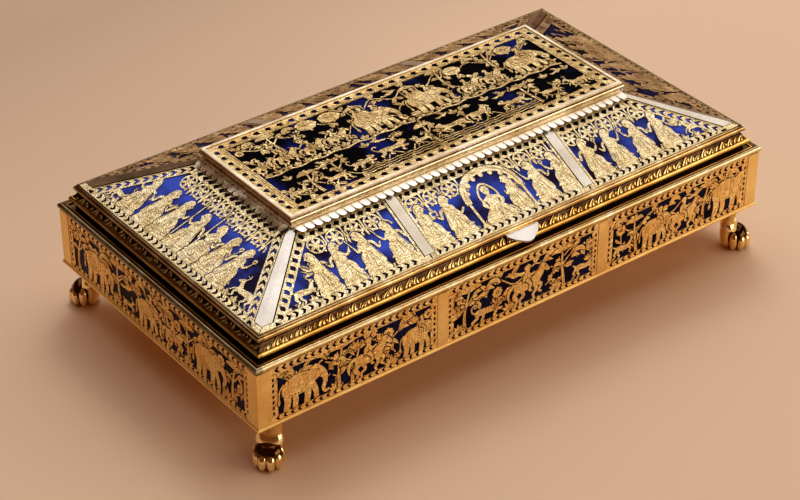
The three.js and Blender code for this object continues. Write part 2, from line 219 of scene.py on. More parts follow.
rows_and_sides = [(row, side) for row in ("front", "back") for side in ("left", "right")]
finished(
    warm_gilt, "case", "base_moulding", *(f"corner_strip_{row}_{side}" for row, side in rows_and_sides),
)
finished(warm_gilt, *(f"pilaster_{row}_{side}" for row, side in rows_and_sides))
# The rim is near black inside the ledge and darker on its left side, both painted shade.
rim_gilt = gilding(
    "rim_gilt", (0.72, 0.60, 0.36), (0.50, 0.36, 0.17), 0.32, rubbed=(0.90, 0.84, 0.68),
    shaded_ledge=(114.35, 62.65), shaded_sides=[(-1, 0, 112.5, 0.4)],
)
finished(rim_gilt, "rim_moulding")


# ---- pierced plaques of the walls ----
# Each plaque is blue glass over crinkled foil, with a scene in sheet gold fused on its face:
# the sheet is sawn through round the figures, and their details are chased in.
def cobalt_glass(name, deep, lit, foil, shade_above=None, shade_below=None, gleam=(0.45, 0.72), polish=1.5):
    """Blue glass whose foil gleams through it, more or less of it, under a glossy face."""
    finish = Finish(name)
    crinkle = finish.cloud(60, 3)
    fine = finish.cloud(420, 2)
    colour = finish.blend(finish.between(crinkle + fine * 0.15, *gleam), deep, lit)
    height = finish.along(2)
    # Painted shade: the glass goes near black above one height, under the tongues, and darker below
    # another, towards the foot.
    if shade_above:
        colour = finish.blend(finish.between(height, *shade_above), colour, (0.004, 0.003, 0.008))
    if shade_below:
        shade = finish.between(height + crinkle * 0.004, *shade_below, 0.85, 0.0)
        colour = finish.blend(shade, colour, (0.016, 0.008, 0.014))
    finish.set(
        Base_Color=colour, Metallic=foil, Roughness=0.3, IOR=polish,
        Specular_IOR_Level=0.04, Coat_Weight=0.02, Coat_Roughness=0.05,
        Normal=finish.bumps(crinkle + fine * 0.2, 0.0008, 0.6),
    )
    return finish.material


def chased_gold(name, bright, deep, line_colour, rough):
    """Chased gold sheet: curling engraved lines over a punched, unevenly rubbed face."""
    finish = Finish(name)
    tone = finish.cloud(150, 3)
    curls = finish.cloud(330, 1, warp=1.4) * 9
    curls = finish.node("ShaderNodeMath", {"operation": "PINGPONG"}, {0: curls, 1: 0.5})
    engraved = finish.between(curls, 0.05, 0.2, 1.0, 0.0)
    punched = finish.cloud(1500, 2)
    hollows = finish.cloud(420, 3)
    colour = finish.blend(finish.between(tone + punched * 0.3, 0.5, 0.8), deep, bright)
    colour = finish.blend(engraved * 0.75, colour, line_colour)
    finish.set(
        Base_Color=colour, Metallic=1.0,
        Roughness=finish.between(punched, 0.35, 0.65, rough * 0.75, rough * 1.35),
        Normal=finish.bumps(curls * 0.8 + punched * 0.5 + hollows, 0.00022, 0.75),
    )
    return finish.material


wall_glass = cobalt_glass("wall_glass", (0.003, 0.002, 0.006), (0.016, 0.018, 0.078), 0.4)
wall_gold = chased_gold("wall_gold", (1.0, 0.77, 0.36), (0.97, 0.64, 0.25), (0.60, 0.33, 0.10), 0.42)
finished(wall_glass, *(name for name in frame["nodes"] if name.startswith("wall_plaque")))

# A drawing is a list of outlines in millimetres, and each one covers what lies under it:
# gold leaves the sheet whole, gap saws it through to the glass, and cut is a chased line.
GOLD, GAP, CUT = "gold", "gap", "cut"


def curve(points, closed, steps):
    """A smooth curve through the points."""
    count = len(points)
    out = []
    for i in range(count if closed else count - 1):
        a, b, c, d = (
            points[(i + k) % count] if closed else points[min(max(i + k, 0), count - 1)]
            for k in (-1, 0, 1, 2)
        )
        for s in range(steps):
            t = s / steps
            out.append(tuple(
                0.5 * (2 * q + (r - p) * t + (2 * p - 5 * q + 4 * r - w) * t * t
                       + (3 * q - p - 3 * r + w) * t ** 3)
                for p, q, r, w in zip(a, b, c, d)
            ))
    return out if closed else out + [tuple(points[-1])]


def loop(*points, steps=4):
    return GOLD, curve(points, True, steps)


def plate(*points, kind=GOLD):
    return kind, list(points)


def spot(x, y, rx, ry=None, kind=GOLD, sides=12):
    ry = ry or rx
    return kind, [
        (x + rx * cos(2 * pi * k / sides), y + ry * sin(2 * pi * k / sides)) for k in range(sides)
    ]


def hole(x, y, radius):
    return spot(x, y, radius, kind=GAP, sides=6)


def panel(left, low, right, high, kind=GOLD):
    return plate((left, low), (right, low), (right, high), (left, high), kind=kind)


def limb(*points, wide, tip=None, belly=0.0, kind=GOLD, steps=4):
    """A band along a smooth path, going from wide to tip and fuller by belly in its middle."""
    path = curve(points, False, steps)
    tip = wide if tip is None else tip
    left, right = [], []
    for i, (x, y) in enumerate(path):
        (ax, ay), (bx, by) = path[max(i - 1, 0)], path[min(i + 1, len(path) - 1)]
        length = hypot(bx - ax, by - ay) or 1
        t = i / (len(path) - 1)
        half = 0.5 * (wide + (tip - wide) * t + belly * sin(pi * t))
        nx, ny = -(by - ay) / length * half, (bx - ax) / length * half
        left.append((x + nx, y + ny))
        right.append((x - nx, y - ny))
    return kind, left + right[::-1]


def line(*points, wide=0.26):
    return limb(*points, wide=wide, kind=CUT, steps=2)


def frond(*points, wide):
    """A long pointed leaf with a chased rib."""
    return [limb(*points, wide=0.25, tip=0.1, belly=wide, steps=3), line(*points, wide=0.2)]


def moved(drawing, x, y, size=1.0, flip=False, turn=0.0):
    c, s = cos(turn) * size, sin(turn) * size
    side = -1 if flip else 1
    return [
        (kind, [(x + c * u * side - s * v, y + s * u * side + c * v) for u, v in outline])
        for kind, outline in drawing
    ]


def area(outline):
    return 0.5 * sum(a[0] * b[1] - b[0] * a[1] for a, b in zip(outline, outline[1:] + outline[:1]))


def freed(drawing, gap=0.34):
    """The drawing with a sawn gap all round it, where it crosses what is under it."""
    gaps = []
    for kind, outline in drawing:
        if kind == GOLD:
            side = gap if area(outline) > 0 else -gap
            grown = []
            for i, (x, y) in enumerate(outline):
                (ax, ay), (bx, by) = outline[i - 1], outline[(i + 1) % len(outline)]
                length = hypot(bx - ax, by - ay) or 1
                grown.append((x + side * (by - ay) / length, y - side * (bx - ax) / length))
            gaps.append((GAP, grown))
    return gaps + drawing


def laid(*items):
    """Figures laid one over another. An item is a drawing, its place, and its size, flip and turn."""
    return [shape for drawing, x, y, *rest in items for shape in freed(moved(drawing, x, y, *rest))]


def elephant():
    """A walking elephant in a fringed cloth, facing right, 21 long and 14 high."""
    return [
        limb((7.2, 6.5), (7.7, 3.4), (7.3, 0.2), wide=2.5, tip=2.1),
        limb((14.4, 7.0), (15.7, 3.8), (16.0, 0.4), wide=2.4, tip=1.9),
        limb((3.0, 11.4), (1.3, 9.0), (1.1, 5.4), wide=0.8, tip=0.5),
        limb((1.1, 5.8), (0.9, 3.4), wide=0.5, tip=0.2, belly=0.8),
        loop(
            (2.6, 6.4), (2.4, 9.8), (4.6, 12.4), (8.6, 13.3), (12.8, 12.6), (15.2, 10.6), (15.2, 7.2),
            (12.2, 5.0), (6.0, 5.0),
        ),
        limb((4.3, 7.4), (4.5, 3.5), (3.8, 0.0), wide=3.2, tip=2.4),
        limb((12.6, 7.4), (12.6, 3.6), (12.1, 0.0), wide=3.0, tip=2.3),
        loop((13.0, 9.4), (13.4, 12.6), (15.6, 14.1), (17.8, 13.1), (18.7, 10.6), (17.4, 8.4), (14.8, 7.6)),
        limb(
            (17.7, 11.4), (19.5, 8.6), (19.7, 5.6), (18.9, 3.0), (19.8, 1.3), (21.3, 1.9), wide=2.5,
            tip=0.9,
        ),
        limb((17.8, 8.5), (19.8, 6.8), (21.8, 7.3), wide=0.9, tip=0.3),
        line((13.9, 12.5), (15.8, 12.2), (16.1, 10.2), (14.7, 8.3), (13.6, 9.0), wide=0.34),
        line(
            (5.2, 12.6), (4.6, 9.6), (5.0, 6.9), (8.4, 6.2), (11.7, 6.9), (12.3, 9.8), (11.8, 12.8),
            wide=0.34,
        ),
        line(
            (6.2, 12.4), (5.8, 9.8), (6.1, 8.0), (8.4, 7.4), (10.7, 8.0), (11.1, 9.8), (10.7, 12.6),
            wide=0.22,
        ),
        line((3.2, 1.2), (5.0, 1.2)), line((11.2, 1.2), (13.2, 1.2)),
        line((18.6, 6.6), (20.6, 6.4), wide=0.2), line((18.5, 5.2), (20.5, 5.2), wide=0.2),
        spot(8.4, 9.8, 0.8, kind=CUT, sides=8), hole(17.0, 11.5, 0.3),
        *(hole(x, 5.55, 0.26) for x in (6.1, 7.5, 8.9, 10.3)),
    ]


def bust(reach=3.2):
    """The upper body of a rider in a turban, facing right, 6 high."""
    return [
        loop((-1.5, 0), (-1.7, 2.0), (-0.9, 3.4), (0.7, 3.5), (1.5, 2.2), (1.4, 0)),
        spot(0.2, 4.3, 0.95, 1.15),
        loop((-1.3, 4.9), (-0.9, 6.0), (0.3, 6.5), (1.4, 5.8), (1.2, 4.9), (-0.1, 4.7), steps=3),
        limb((0.2, 2.9), (1.9, 1.9), (reach, 2.8), wide=0.95, tip=0.55),
        line((-1.6, 1.0), (0, 0.7), (1.5, 1.0)), line((-0.3, 0.9), (0.2, 3.2), wide=0.2),
    ]


def howdah():
    """A railed seat under a canopy with two riders, 8 wide and 9 high."""
    return [
        limb((0.3, 0), (-0.1, 6.4), wide=0.55), limb((6.7, 0), (7.1, 6.4), wide=0.55),
        loop((-1.0, 6.2), (0.4, 7.8), (3.5, 8.9), (6.6, 7.8), (8.0, 6.2), (3.5, 6.7), steps=3),
        spot(3.5, 9.3, 0.55, sides=8), line((-0.2, 6.9), (3.5, 7.5), (7.2, 6.9)),
        *freed(moved(bust(2.4), 2.0, 0.8, 0.82), 0.25),
        *freed(moved(bust(2.4), 5.2, 0.8, 0.82, True), 0.25),
        plate((-0.2, -0.4), (7.2, -0.4), (7.7, 2.0), (-0.7, 2.0)),
        line((-0.4, 1.3), (7.4, 1.3)), *(hole(x, 0.45, 0.3) for x in (1, 2.5, 4, 5.5)),
    ]


def horse():
    """A prancing horse with saddle and bridle, facing right, 18 long and 13 high."""
    return [
        limb((4.8, 5.6), (5.9, 3.2), (4.3, 1.7), (4.6, 0.1), wide=1.7, tip=0.8),
        limb((11.0, 6.2), (13.6, 4.8), (12.6, 2.7), (13.9, 1.6), wide=1.7, tip=0.8),
        limb((2.4, 8.4), (0.5, 8.3), (-0.9, 5.8), (-0.5, 2.9), wide=1.0, tip=0.4, belly=0.9),
        loop(
            (1.8, 6.0), (2.0, 8.4), (4.4, 9.5), (8.2, 8.9), (11.2, 9.7), (13.0, 8.2), (12.5, 6.0),
            (8.6, 4.9), (4.4, 4.7),
        ),
        limb((3.5, 6.6), (1.8, 3.8), (3.1, 2.0), (1.9, 0.0), wide=2.5, tip=0.9),
        limb((10.7, 6.6), (11.4, 3.8), (10.1, 1.9), (10.8, 0.0), wide=2.0, tip=0.8),
        limb((10.7, 7.6), (13.0, 9.8), (13.9, 12.2), wide=4.4, tip=2.1),
        loop(
            (12.8, 12.5), (14.4, 13.2), (16.3, 11.3), (17.2, 9.7), (16.1, 9.1), (14.2, 10.7), (12.9, 10.9),
            steps=3,
        ),
        limb((13.4, 12.4), (13.0, 14.4), wide=0.7, tip=0.2),
        line((10.6, 10.2), (11.9, 11.2), (12.9, 12.6)), line((14.9, 12.4), (14.6, 10.8), wide=0.2),
        line((5.4, 9.1), (4.9, 6.8), (7.2, 5.9), (9.2, 6.8), (9.0, 9.0), wide=0.34),
        line((6.3, 9.0), (6.0, 7.4), (7.3, 6.8), (8.3, 7.4), (8.1, 8.9), wide=0.2),
        line((9.2, 8.0), (11.6, 7.6)), hole(15.1, 11.6, 0.26),
    ]


def horseman():
    return [
        *horse(), *freed(moved(bust(), 7.2, 8.4, 1.05), 0.28),
        *freed([limb((7.0, 9.2), (8.9, 6.8), (8.5, 4.2), (9.7, 3.8), wide=1.6, tip=0.6)], 0.28),
    ]


def elephant_rider():
    return [
        *elephant(), *freed(moved(bust(), 12.6, 12.2, 0.95), 0.28),
        *freed([limb((12.2, 13.0), (14.2, 11.0), (13.8, 8.8), wide=1.4, tip=0.8)], 0.28),
    ]


def buck():
    """A leaping buck, 14 long and 12 high."""
    return [
        limb((3.7, 5.2), (3.2, 2.9), (4.3, 1.7), (2.9, 0.0), wide=1.7, tip=0.5),
        limb((9.4, 5.8), (12.0, 4.9), (13.4, 3.0), wide=1.3, tip=0.5),
        loop(
            (1.3, 4.6), (1.6, 6.7), (4.4, 7.3), (8.2, 6.6), (10.4, 7.3), (11.0, 5.6), (8.6, 4.1),
            (4.6, 4.3),
        ),
        limb((2.6, 5.6), (0.8, 3.7), (1.5, 2.2), (-0.6, 0.3), wide=2.0, tip=0.5),
        limb((9.2, 5.4), (11.2, 3.5), (10.3, 2.0), (12.0, 0.8), wide=1.5, tip=0.5),
        limb((9.7, 6.2), (11.1, 8.0), (11.5, 9.5), wide=2.1, tip=1.3),
        loop((10.8, 9.5), (11.7, 10.4), (13.3, 9.3), (14.1, 8.5), (13.3, 8.0), (11.7, 8.6), steps=3),
        limb((11.2, 10.0), (10.2, 11.6), (10.9, 13.2), wide=0.55, tip=0.3),
        limb((10.4, 11.5), (12.0, 12.2), wide=0.45, tip=0.25),
        limb((2.0, 6.6), (-0.1, 7.9), wide=0.5, tip=0.2, belly=0.6),
        line((3.4, 6.2), (5.6, 5.6)), line((6.2, 6.4), (8.2, 5.6)), hole(12.2, 9.5, 0.25),
    ]


def tiger():
    """A running tiger, 17 long and 9 high."""
    return [
        limb((4.6, 4.6), (6.0, 2.6), (4.8, 0.8), (6.4, 0.2), wide=1.8, tip=0.8),
        limb((12.0, 4.8), (14.6, 3.0), (16.0, 3.4), wide=1.6, tip=0.9),
        limb((2.2, 5.4), (0.2, 6.2), (-0.6, 8.6), (1.0, 10.0), (2.4, 9.2), wide=0.9, tip=0.7),
        loop(
            (1.4, 4.2), (1.8, 6.4), (5.4, 6.6), (9.6, 6.2), (13.0, 6.9), (13.8, 5.0), (11.6, 3.4),
            (5.4, 3.5),
        ),
        limb((3.0, 5.0), (2.2, 2.6), (0.0, 1.4), (0.4, 0.1), wide=2.3, tip=0.9),
        limb((12.0, 4.6), (12.6, 2.6), (11.4, 1.0), (12.8, 0.2), wide=1.8, tip=0.9),
        loop(
            (12.6, 5.6), (12.9, 8.0), (14.4, 8.8), (16.2, 8.0), (17.0, 6.6), (15.8, 5.7), (14.0, 5.0),
            steps=3,
        ),
        spot(13.3, 8.6, 0.6, sides=8),
        *(line((x, 6.3), (x + 0.3, 5.2), (x, 4.2)) for x in (3.6, 5.2, 6.8, 8.4, 10.0, 11.4)),
        line((15.2, 6.2), (16.6, 6.3), wide=0.2), hole(15.0, 7.5, 0.26),
    ]


def bird():
    """A bird on the wing, 8 long and 5 high."""
    return [
        limb((2.8, 1.8), (0.2, 1.0), (-1.6, 1.6), wide=0.9, tip=0.3, belly=0.7),
        loop((1.8, 1.5), (3.6, 0.6), (5.6, 1.5), (6.0, 2.9), (3.4, 2.9)),
        spot(6.3, 3.0, 0.85, sides=10), limb((6.7, 3.1), (8.1, 2.8), wide=0.7, tip=0.2),
        limb((4.8, 2.0), (4.0, 4.0), (1.8, 5.4), wide=0.8, tip=0.3, belly=1.4),
        line((4.8, 2.4), (3.8, 4.0), (2.4, 5.0)), line((2.2, 2.4), (4.4, 1.6), wide=0.2),
        hole(6.5, 3.2, 0.2),
    ]


def daisy(stem=0.0, lean=0.0):
    """An open flower 5 across, on a stem if it has one."""
    out = []
    if stem:
        out += [limb((lean, -stem), (lean * 0.2, -stem * 0.5), (0, 0), wide=0.5)]
        for side, low in ((1, 0.85), (-1, 0.6)):
            out += frond(
                (lean * 0.5, -stem * low), (side * 1.7, -stem * low + 1.7), (side * 2.4, -stem * low + 2.9),
                wide=1.0,
            )
    for k in range(8):
        out.append(spot(1.65 * cos(k * pi / 4), 1.65 * sin(k * pi / 4), 0.82, sides=8))
    return out + [spot(0, 0, 1.3), spot(0, 0, 0.8, kind=GAP, sides=8), spot(0, 0, 0.42, sides=8)]


def tree(height, lean, reach):
    """A slim forked tree ending in long drooping leaves."""
    top = (lean, height)
    fork = (lean * 0.4 - 0.6, height * 0.62)
    out = [
        limb((0, -0.4), (-0.5, height * 0.3), fork, top, wide=1.6, tip=0.7),
        limb(fork, (fork[0] + 1.6, height * 0.72), (reach * 0.5, height * 0.84), wide=0.8, tip=0.5),
        line((0.1, 0.3), (-0.3, height * 0.3), fork, wide=0.2),
    ]
    for (x, y), angle, size in (
        (top, 170, 1.0), (top, 125, 0.8), (top, 70, 0.8), (top, 15, 1.0),
        ((reach * 0.5, height * 0.84), 20, 0.9), ((reach * 0.5, height * 0.84), -35, 0.75),
        (fork, 165, 0.85),
    ):
        c, s = cos(radians(angle)) * reach * size, sin(radians(angle)) * reach * size
        out += frond((x, y), (x + c * 0.5, y + s * 0.5 + 0.7), (x + c, y + s - 0.5), wide=1.7 * size)
    return out


def shrub(height, leaves=5, spread=60):
    """A tuft of pointed leaves."""
    out = []
    for k in range(leaves):
        angle = radians(90 + spread * (2 * k / (leaves - 1) - 1))
        reach = height * (1 - 0.25 * abs(cos(angle)))
        out += frond(
            (0, 0), (cos(angle) * reach * 0.5, sin(angle) * reach * 0.55),
            (cos(angle) * reach, sin(angle) * reach), wide=1.1,
        )
    return out


def sprig(reach, turn=1):
    """A curling twig with three broad lobed leaves and a bud, for the ground behind figures."""
    out = [
        limb(
            (0, 0), (reach * 0.4, turn * 1.4), (reach * 0.8, turn * 0.9), (reach, -turn * 0.6), wide=0.6,
            tip=0.35,
        )
    ]
    for x, y, angle, size in (
        (reach * 0.3, turn * 1.2, 70, 1.0), (reach * 0.62, turn * 1.2, -60, 0.9),
        (reach, -turn * 0.5, 10, 1.05),
    ):
        leaf = [
            (0, -0.25), (1.1, -1.2), (1.7, -0.9), (2.4, -1.35), (3.0, -0.5), (4.0, 0.1), (2.9, 0.6),
            (2.3, 1.3), (1.6, 0.9), (1.0, 1.2), (0, 0.25),
        ]
        out += moved(
            [loop(*leaf, steps=2), line((0.4, 0), (3.4, 0.1), wide=0.2)], x, y, size, False,
            radians(angle * turn),
        )
    return out + [spot(reach * 0.45, -turn * 0.3, 0.5, sides=7)]


def spray(reach, rise):
    """A long arching leaf over a shorter one."""
    return [
        *frond((0, 0), (reach * 0.35, rise), (reach * 0.75, rise * 0.9), (reach, rise * 0.2), wide=1.9),
        *frond((0.3, 0), (reach * 0.3, rise * 0.3), (reach * 0.62, -rise * 0.1), wide=1.4),
    ]


def pierced_sheet(name, drawing, corner, along, up, gold, thickness=0.32):
    """The drawing as a gold sheet fused on a plaque. Its corner is the drawing's origin."""
    points, sides = [], []
    for _, outline in drawing:
        first, count = len(points), len(outline)
        points += [Vector(p) for p in outline]
        sides += [(first + i, first + (i + 1) % count) for i in range(count)]
    flat, _, faces, *_ = delaunay_2d_cdt(points, sides, [], 0, 0.004, False)
    middles = np.array([sum((flat[v] for v in face), Vector((0, 0))) / 3 for face in faces])
    laid_on = np.zeros(len(faces), int)
    for number, (kind, outline) in enumerate(drawing):
        ring = np.array(outline)
        near = np.flatnonzero(
            (middles > ring.min(0)).all(1) & (middles < ring.max(0)).all(1)
        )
        x, y = middles[near, 0, None], middles[near, 1, None]
        (ax, ay), (bx, by) = ring.T, np.roll(ring, -1, 0).T
        turn = (bx - ax) * (y - ay) - (by - ay) * (x - ax)
        winding = ((ay <= y) & (by > y) & (turn > 0)).sum(1) - ((ay > y) & (by <= y) & (turn < 0)).sum(1)
        laid_on[near[winding != 0]] = (GAP, CUT, GOLD).index(kind)
    kept = [(face, (GAP, CUT, GOLD)[kind]) for face, kind in zip(faces, laid_on) if kind]
    kinds = {(face[i], face[(i + 1) % 3]): kind for face, kind in kept for i in range(3)}
    inward = {}
    for (a, b), kind in kinds.items():
        if kind == GOLD and kinds.get((b, a)) != GOLD:
            d = (flat[b] - flat[a]).normalized()
            for v in (a, b):
                inward[v] = inward.get(v, Vector((0, 0))) + Vector((-d.y, d.x))
    chase, edge = 0.14, 0.07
    heights = {"foot": 0, "chased": thickness - chase, "edge": thickness - edge, "top": thickness}
    normal = along.cross(up)
    verts, index, mesh_faces = [], {}, []

    def vertex(v, level):
        if (v, level) not in index:
            p = flat[v]
            if level == "top" and v in inward and inward[v].length > 0.2:
                p = p + inward[v].normalized() * edge
            index[v, level] = len(verts)
            verts.append((corner + along * p.x + up * p.y + normal * heights[level]) * MM)
        return index[v, level]

    for face, kind in kept:
        mesh_faces.append([vertex(v, "top" if kind == GOLD else "chased") for v in face])
    for (a, b), kind in kinds.items():
        beyond = kinds.get((b, a))
        if kind == GOLD and beyond != GOLD:
            low = "chased" if beyond else "foot"
            mesh_faces.append([vertex(a, "edge"), vertex(b, "edge"), vertex(b, "top"), vertex(a, "top")])
            mesh_faces.append([vertex(a, low), vertex(b, low), vertex(b, "edge"), vertex(a, "edge")])
        elif kind == CUT and not beyond:
            mesh_faces.append([
                vertex(a, "foot"), vertex(b, "foot"), vertex(b, "chased"), vertex(a, "chased"),
            ])
    mesh = bpy.data.meshes.new(name)
    mesh.from_pydata(verts, [], mesh_faces)
    mesh.materials.append(gold)
    sheet = bpy.data.objects.new(name, mesh)
    bpy.context.scene.collection.objects.link(sheet)
    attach(sheet, "root")
    return sheet


def chevron():
    """A sawn arrow-head nick, pointing right."""
    return plate((-1.1, 1.1), (-0.1, 1.1), (1.0, 0), (-0.1, -1.1), (-1.1, -1.1), (-0.2, 0), kind=GAP)


def vine(length, height, pitch=5.6):
    """A winding stem with leaves and buds at every bend, which fills the ground behind figures."""
    stem = [(pitch * k, height / 2 + height * 0.36 * (-1) ** k) for k in range(int(length / pitch) + 1)]
    out = []
    for k, (x, y) in enumerate(stem):
        side = (-1) ** (k + 1)
        for angle, reach in ((28 + 23 * (k * 5 % 3), 4.0), (132 - 19 * (k * 7 % 3), 3.4)):
            c, s = cos(radians(angle)) * reach, -sin(radians(angle)) * reach * side
            out += frond((x, y), (x + c * 0.5 + 0.5, y + s * 0.6), (x + c, y + s), wide=1.7)
    return out + [limb(*stem, wide=0.6)]


def wall_drawing(width, scene):
    """A wall plaque's sheet: the scene in a border of sawn nicks, with dashes beside the strips."""
    height, lower_rail, upper_rail, stile = 22.2, 2.0, 19.3, 2.5
    out = [
        panel(0, 0, width, height),
        panel(stile + 0.5, lower_rail, width - stile - 0.5, upper_rail, kind=GAP),
        *moved(vine(width - 8, 7.0, 8.8), 4.6, 11.0), *scene,
        panel(0, 0, width, lower_rail),
        panel(0, upper_rail, width, height),
        panel(0, 0, stile, height),
        panel(width - stile, 0, width, height),
        line((0.3, 19.75), (width - 0.3, 19.75), wide=0.2),
    ]
    for y, pitch, size in ((20.95, 3.0, 0.98), (1.0, 2.9, 0.86)):
        count = round((width - 2.8) / pitch)
        for k in range(count):
            out += moved([chevron()], 1.4 + (k + 0.5) * (width - 2.8) / count, y, size, True)
    dash = [plate((-0.35, 0), (0.4, 0.25), (0.35, 1.6), (-0.4, 1.3), kind=GAP)]
    for x in (stile / 2, width - stile / 2):
        for k in range(7):
            out += moved(dash, x, 2.6 + 2.35 * k)
    return out


long_bay, middle_bay, end_bay = 70.55, 69.7, 116.0
hunt = laid(
    (sprig(6.5), 5.0, 16.2), (sprig(6, -1), 22.6, 15.4), (sprig(6.5), 40.6, 15.6), (sprig(5), 60.6, 10.8),
    (sprig(5.4, -1), 25.6, 8.6), (sprig(5), 46.2, 4.6),
    (shrub(4.5), 27.0, 1.6), (spray(11, 4.4), 12.4, 15.0), (spray(8, 3.2), 10.2, 16.4, 1.0, True),
    (tree(16.5, 1.0, 5.6), 28.6, 1.6), (tree(13.0, -3.0, 4.6), 33.6, 1.6, 1.0, True),
    (elephant(), 2.4, 2.0, 1.02),
    (spray(8, 3.0), 45.6, 8.6), (daisy(9.0, 3.0), 49.2, 15.2), (shrub(4.6), 50.4, 1.4),
    (horseman(), 33.2, 1.8, 1.03), (spray(7, 3.0), 53.6, 14.2, 1.1, False, 0.2),
    (shrub(3.6, 4), 35.4, 15.4),
    (elephant_rider(), 53.4, 1.9, 0.82), (daisy(), 66.4, 16.2, 0.8), (shrub(3.4), 60.2, 14.8),
)
chase = laid(
    (sprig(6), 3.2, 12.6), (sprig(6, -1), 14.6, 16.4), (sprig(6), 48.2, 10.4), (sprig(6.4, -1), 60.0, 16.0),
    (sprig(5), 19.8, 8.2), (sprig(6), 45.0, 5.4, 0.9),
    (spray(7, 2.6), 3.0, 16.0), (tree(15.6, 1.6, 5.8), 8.2, 1.6),
    (shrub(6.0, 5, 70), 4.6, 8.4, 1.0, False, 0.4), (shrub(4.0), 5.0, 1.6),
    (tiger(), 11.4, 1.9, 0.86), (bird(), 13.0, 12.2, 0.95), (daisy(8.0, -1.6), 22.6, 11.8, 0.95),
    (spray(7, 3.0), 17.0, 14.6),
    (bird(), 34.2, 13.8, 1.0, True), (shrub(5.0), 28.4, 1.6), (spray(6, 2.2), 25.0, 9.2, 1.0, False, -0.2),
    (spray(9, 2.8), 42.8, 15.8), (tree(15.2, -1.2, 5.4), 53.8, 1.6), (horseman(), 28.6, 1.9, 1.06),
    (shrub(4.4), 50.0, 1.6), (spray(7, 2.8), 56.8, 12.4), (daisy(6.0, 1.0), 66.0, 14.8, 0.85),
    (buck(), 57.8, 1.9, 0.8), (shrub(3.6), 65.0, 8.2, 0.8),
)
hunters = laid(
    (sprig(6), 20.6, 15.8), (sprig(6, -1), 43.0, 10.8), (sprig(6), 58.0, 16.0), (sprig(5), 28.0, 8.4, 0.9),
    (sprig(5, -1), 12.0, 8.0), (sprig(6), 51.6, 13.0),
    (daisy(10.0, 1.6), 6.8, 14.4), (spray(7, 2.4), 3.0, 16.4), (buck(), 3.4, 1.9, 0.78),
    (tree(14.0, -1.6, 4.6), 15.0, 1.6),
    (elephant_rider(), 15.6, 1.9, 0.84), (spray(6, 2.4), 30.2, 15.8), (shrub(4.6), 33.0, 1.5),
    (horseman(), 31.0, 1.8, 0.98), (tree(15.0, 1.4, 5.2), 48.8, 1.6), (shrub(4.0), 46.6, 1.4),
    (bird(), 41.0, 14.4, 0.8),
    (spray(6, 2.6), 60.4, 15.8), (elephant(), 50.6, 1.9, 1.06), (shrub(3.4), 53.4, 14.6),
)
twigs = [
    (11.0, 16.2), (25.0, 10.6), (39.8, 14.8), (51.0, 16.2), (57.6, 7.2),
    (61.0, 15.0), (87.0, 16.4), (76.6, 9.0), (95.4, 12.4), (105.0, 8.0),
]
procession = laid(
    *((sprig(6, (-1) ** k), x, y) for k, (x, y) in enumerate(twigs)),
    (tree(14.0, 1.6, 5.6), 6.4, 1.6), (daisy(), 5.4, 16.0, 0.8), (elephant(), 9.4, 1.9),
    (spray(10, 3.4), 20.4, 14.0),
    (tree(15.6, -1.0, 5.4), 34.4, 1.6), (shrub(4.6), 32.0, 1.4), (bird(), 36.6, 10.4, 0.9),
    (buck(), 36.0, 1.9, 0.6),
    (spray(8, 3.0), 44.6, 15.4), (elephant_rider(), 44.4, 1.9, 0.86),
    (tree(14.4, 1.4, 5.6), 66.6, 1.6, 1.0, True), (daisy(9.0, -1.0), 72.4, 14.4, 0.9),
    (horseman(), 63.2, 1.8, 0.86), (tree(15.2, -1.4, 5.0), 79.8, 1.6), (elephant(), 80.8, 1.9, 1.04),
    (daisy(), 99.6, 15.8, 0.95),
    (shrub(4.4), 78.4, 1.5), (spray(7, 2.6), 84.8, 15.6), (tree(15.0, 1.4, 5.4), 106.4, 1.6),
    (shrub(5.0), 102.8, 1.5), (daisy(6.4, 0.8), 110.6, 10.4, 0.7),
)

across, inwards, upright = Vector((1, 0, 0)), Vector((0, 1, 0)), Vector((0, 0, 1))
wall_x, wall_y, wall_foot = 114.5, 62.8, 19.3
bay_inner, bay_outer = 39.15, 109.7
for name, width, figures, corner, along in (
    ("front_left", long_bay, hunt, (-bay_outer, -wall_y), across),
    ("front_middle", middle_bay, chase, (-middle_bay / 2, -wall_y), across),
    ("front_right", long_bay, hunters, (bay_inner, -wall_y), across),
    ("back_left", long_bay, hunters, (-bay_inner, wall_y), -across),
    ("back_middle", middle_bay, hunt, (middle_bay / 2, wall_y), -across),
    ("back_right", long_bay, chase, (bay_outer, wall_y), -across),
    ("end_left", end_bay, procession, (-wall_x, end_bay / 2), -inwards),
    ("end_right", end_bay, procession, (wall_x, -end_bay / 2), inwards),
):
    corner = Vector((*corner, wall_foot))
    pierced_sheet(f"wall_scene_{name}", wall_drawing(width, figures), corner, along, upright, wall_gold)


# ---- feet ----
# Four cast and burnished lion paws, each clasping a ball painted dark as a painted reflection of the
# case's dark underside. A flat leg, set back under the case, ends in a scalloped cuff; six toes spread
# outwards from it and grip the ball.
paw_gilt = gilding("paw_gilt", (1.0, 0.84, 0.50), (0.95, 0.68, 0.32), 0.15)
# paw_shadow paints the ball dark, a painted reflection of the case's dark underside.
paw_shadow = gilding("paw_shadow", (0.14, 0.07, 0.02), (0.03, 0.015, 0.008), 0.1)


def made(name, material, slot="gilt"):
    """Gives the piece just modelled its name, its finish and its place on the casket."""
    piece = bpy.context.object
    piece.name = name
    piece.data.materials.clear()
    piece.data.materials.append(material)
    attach(piece, "root")
    return piece


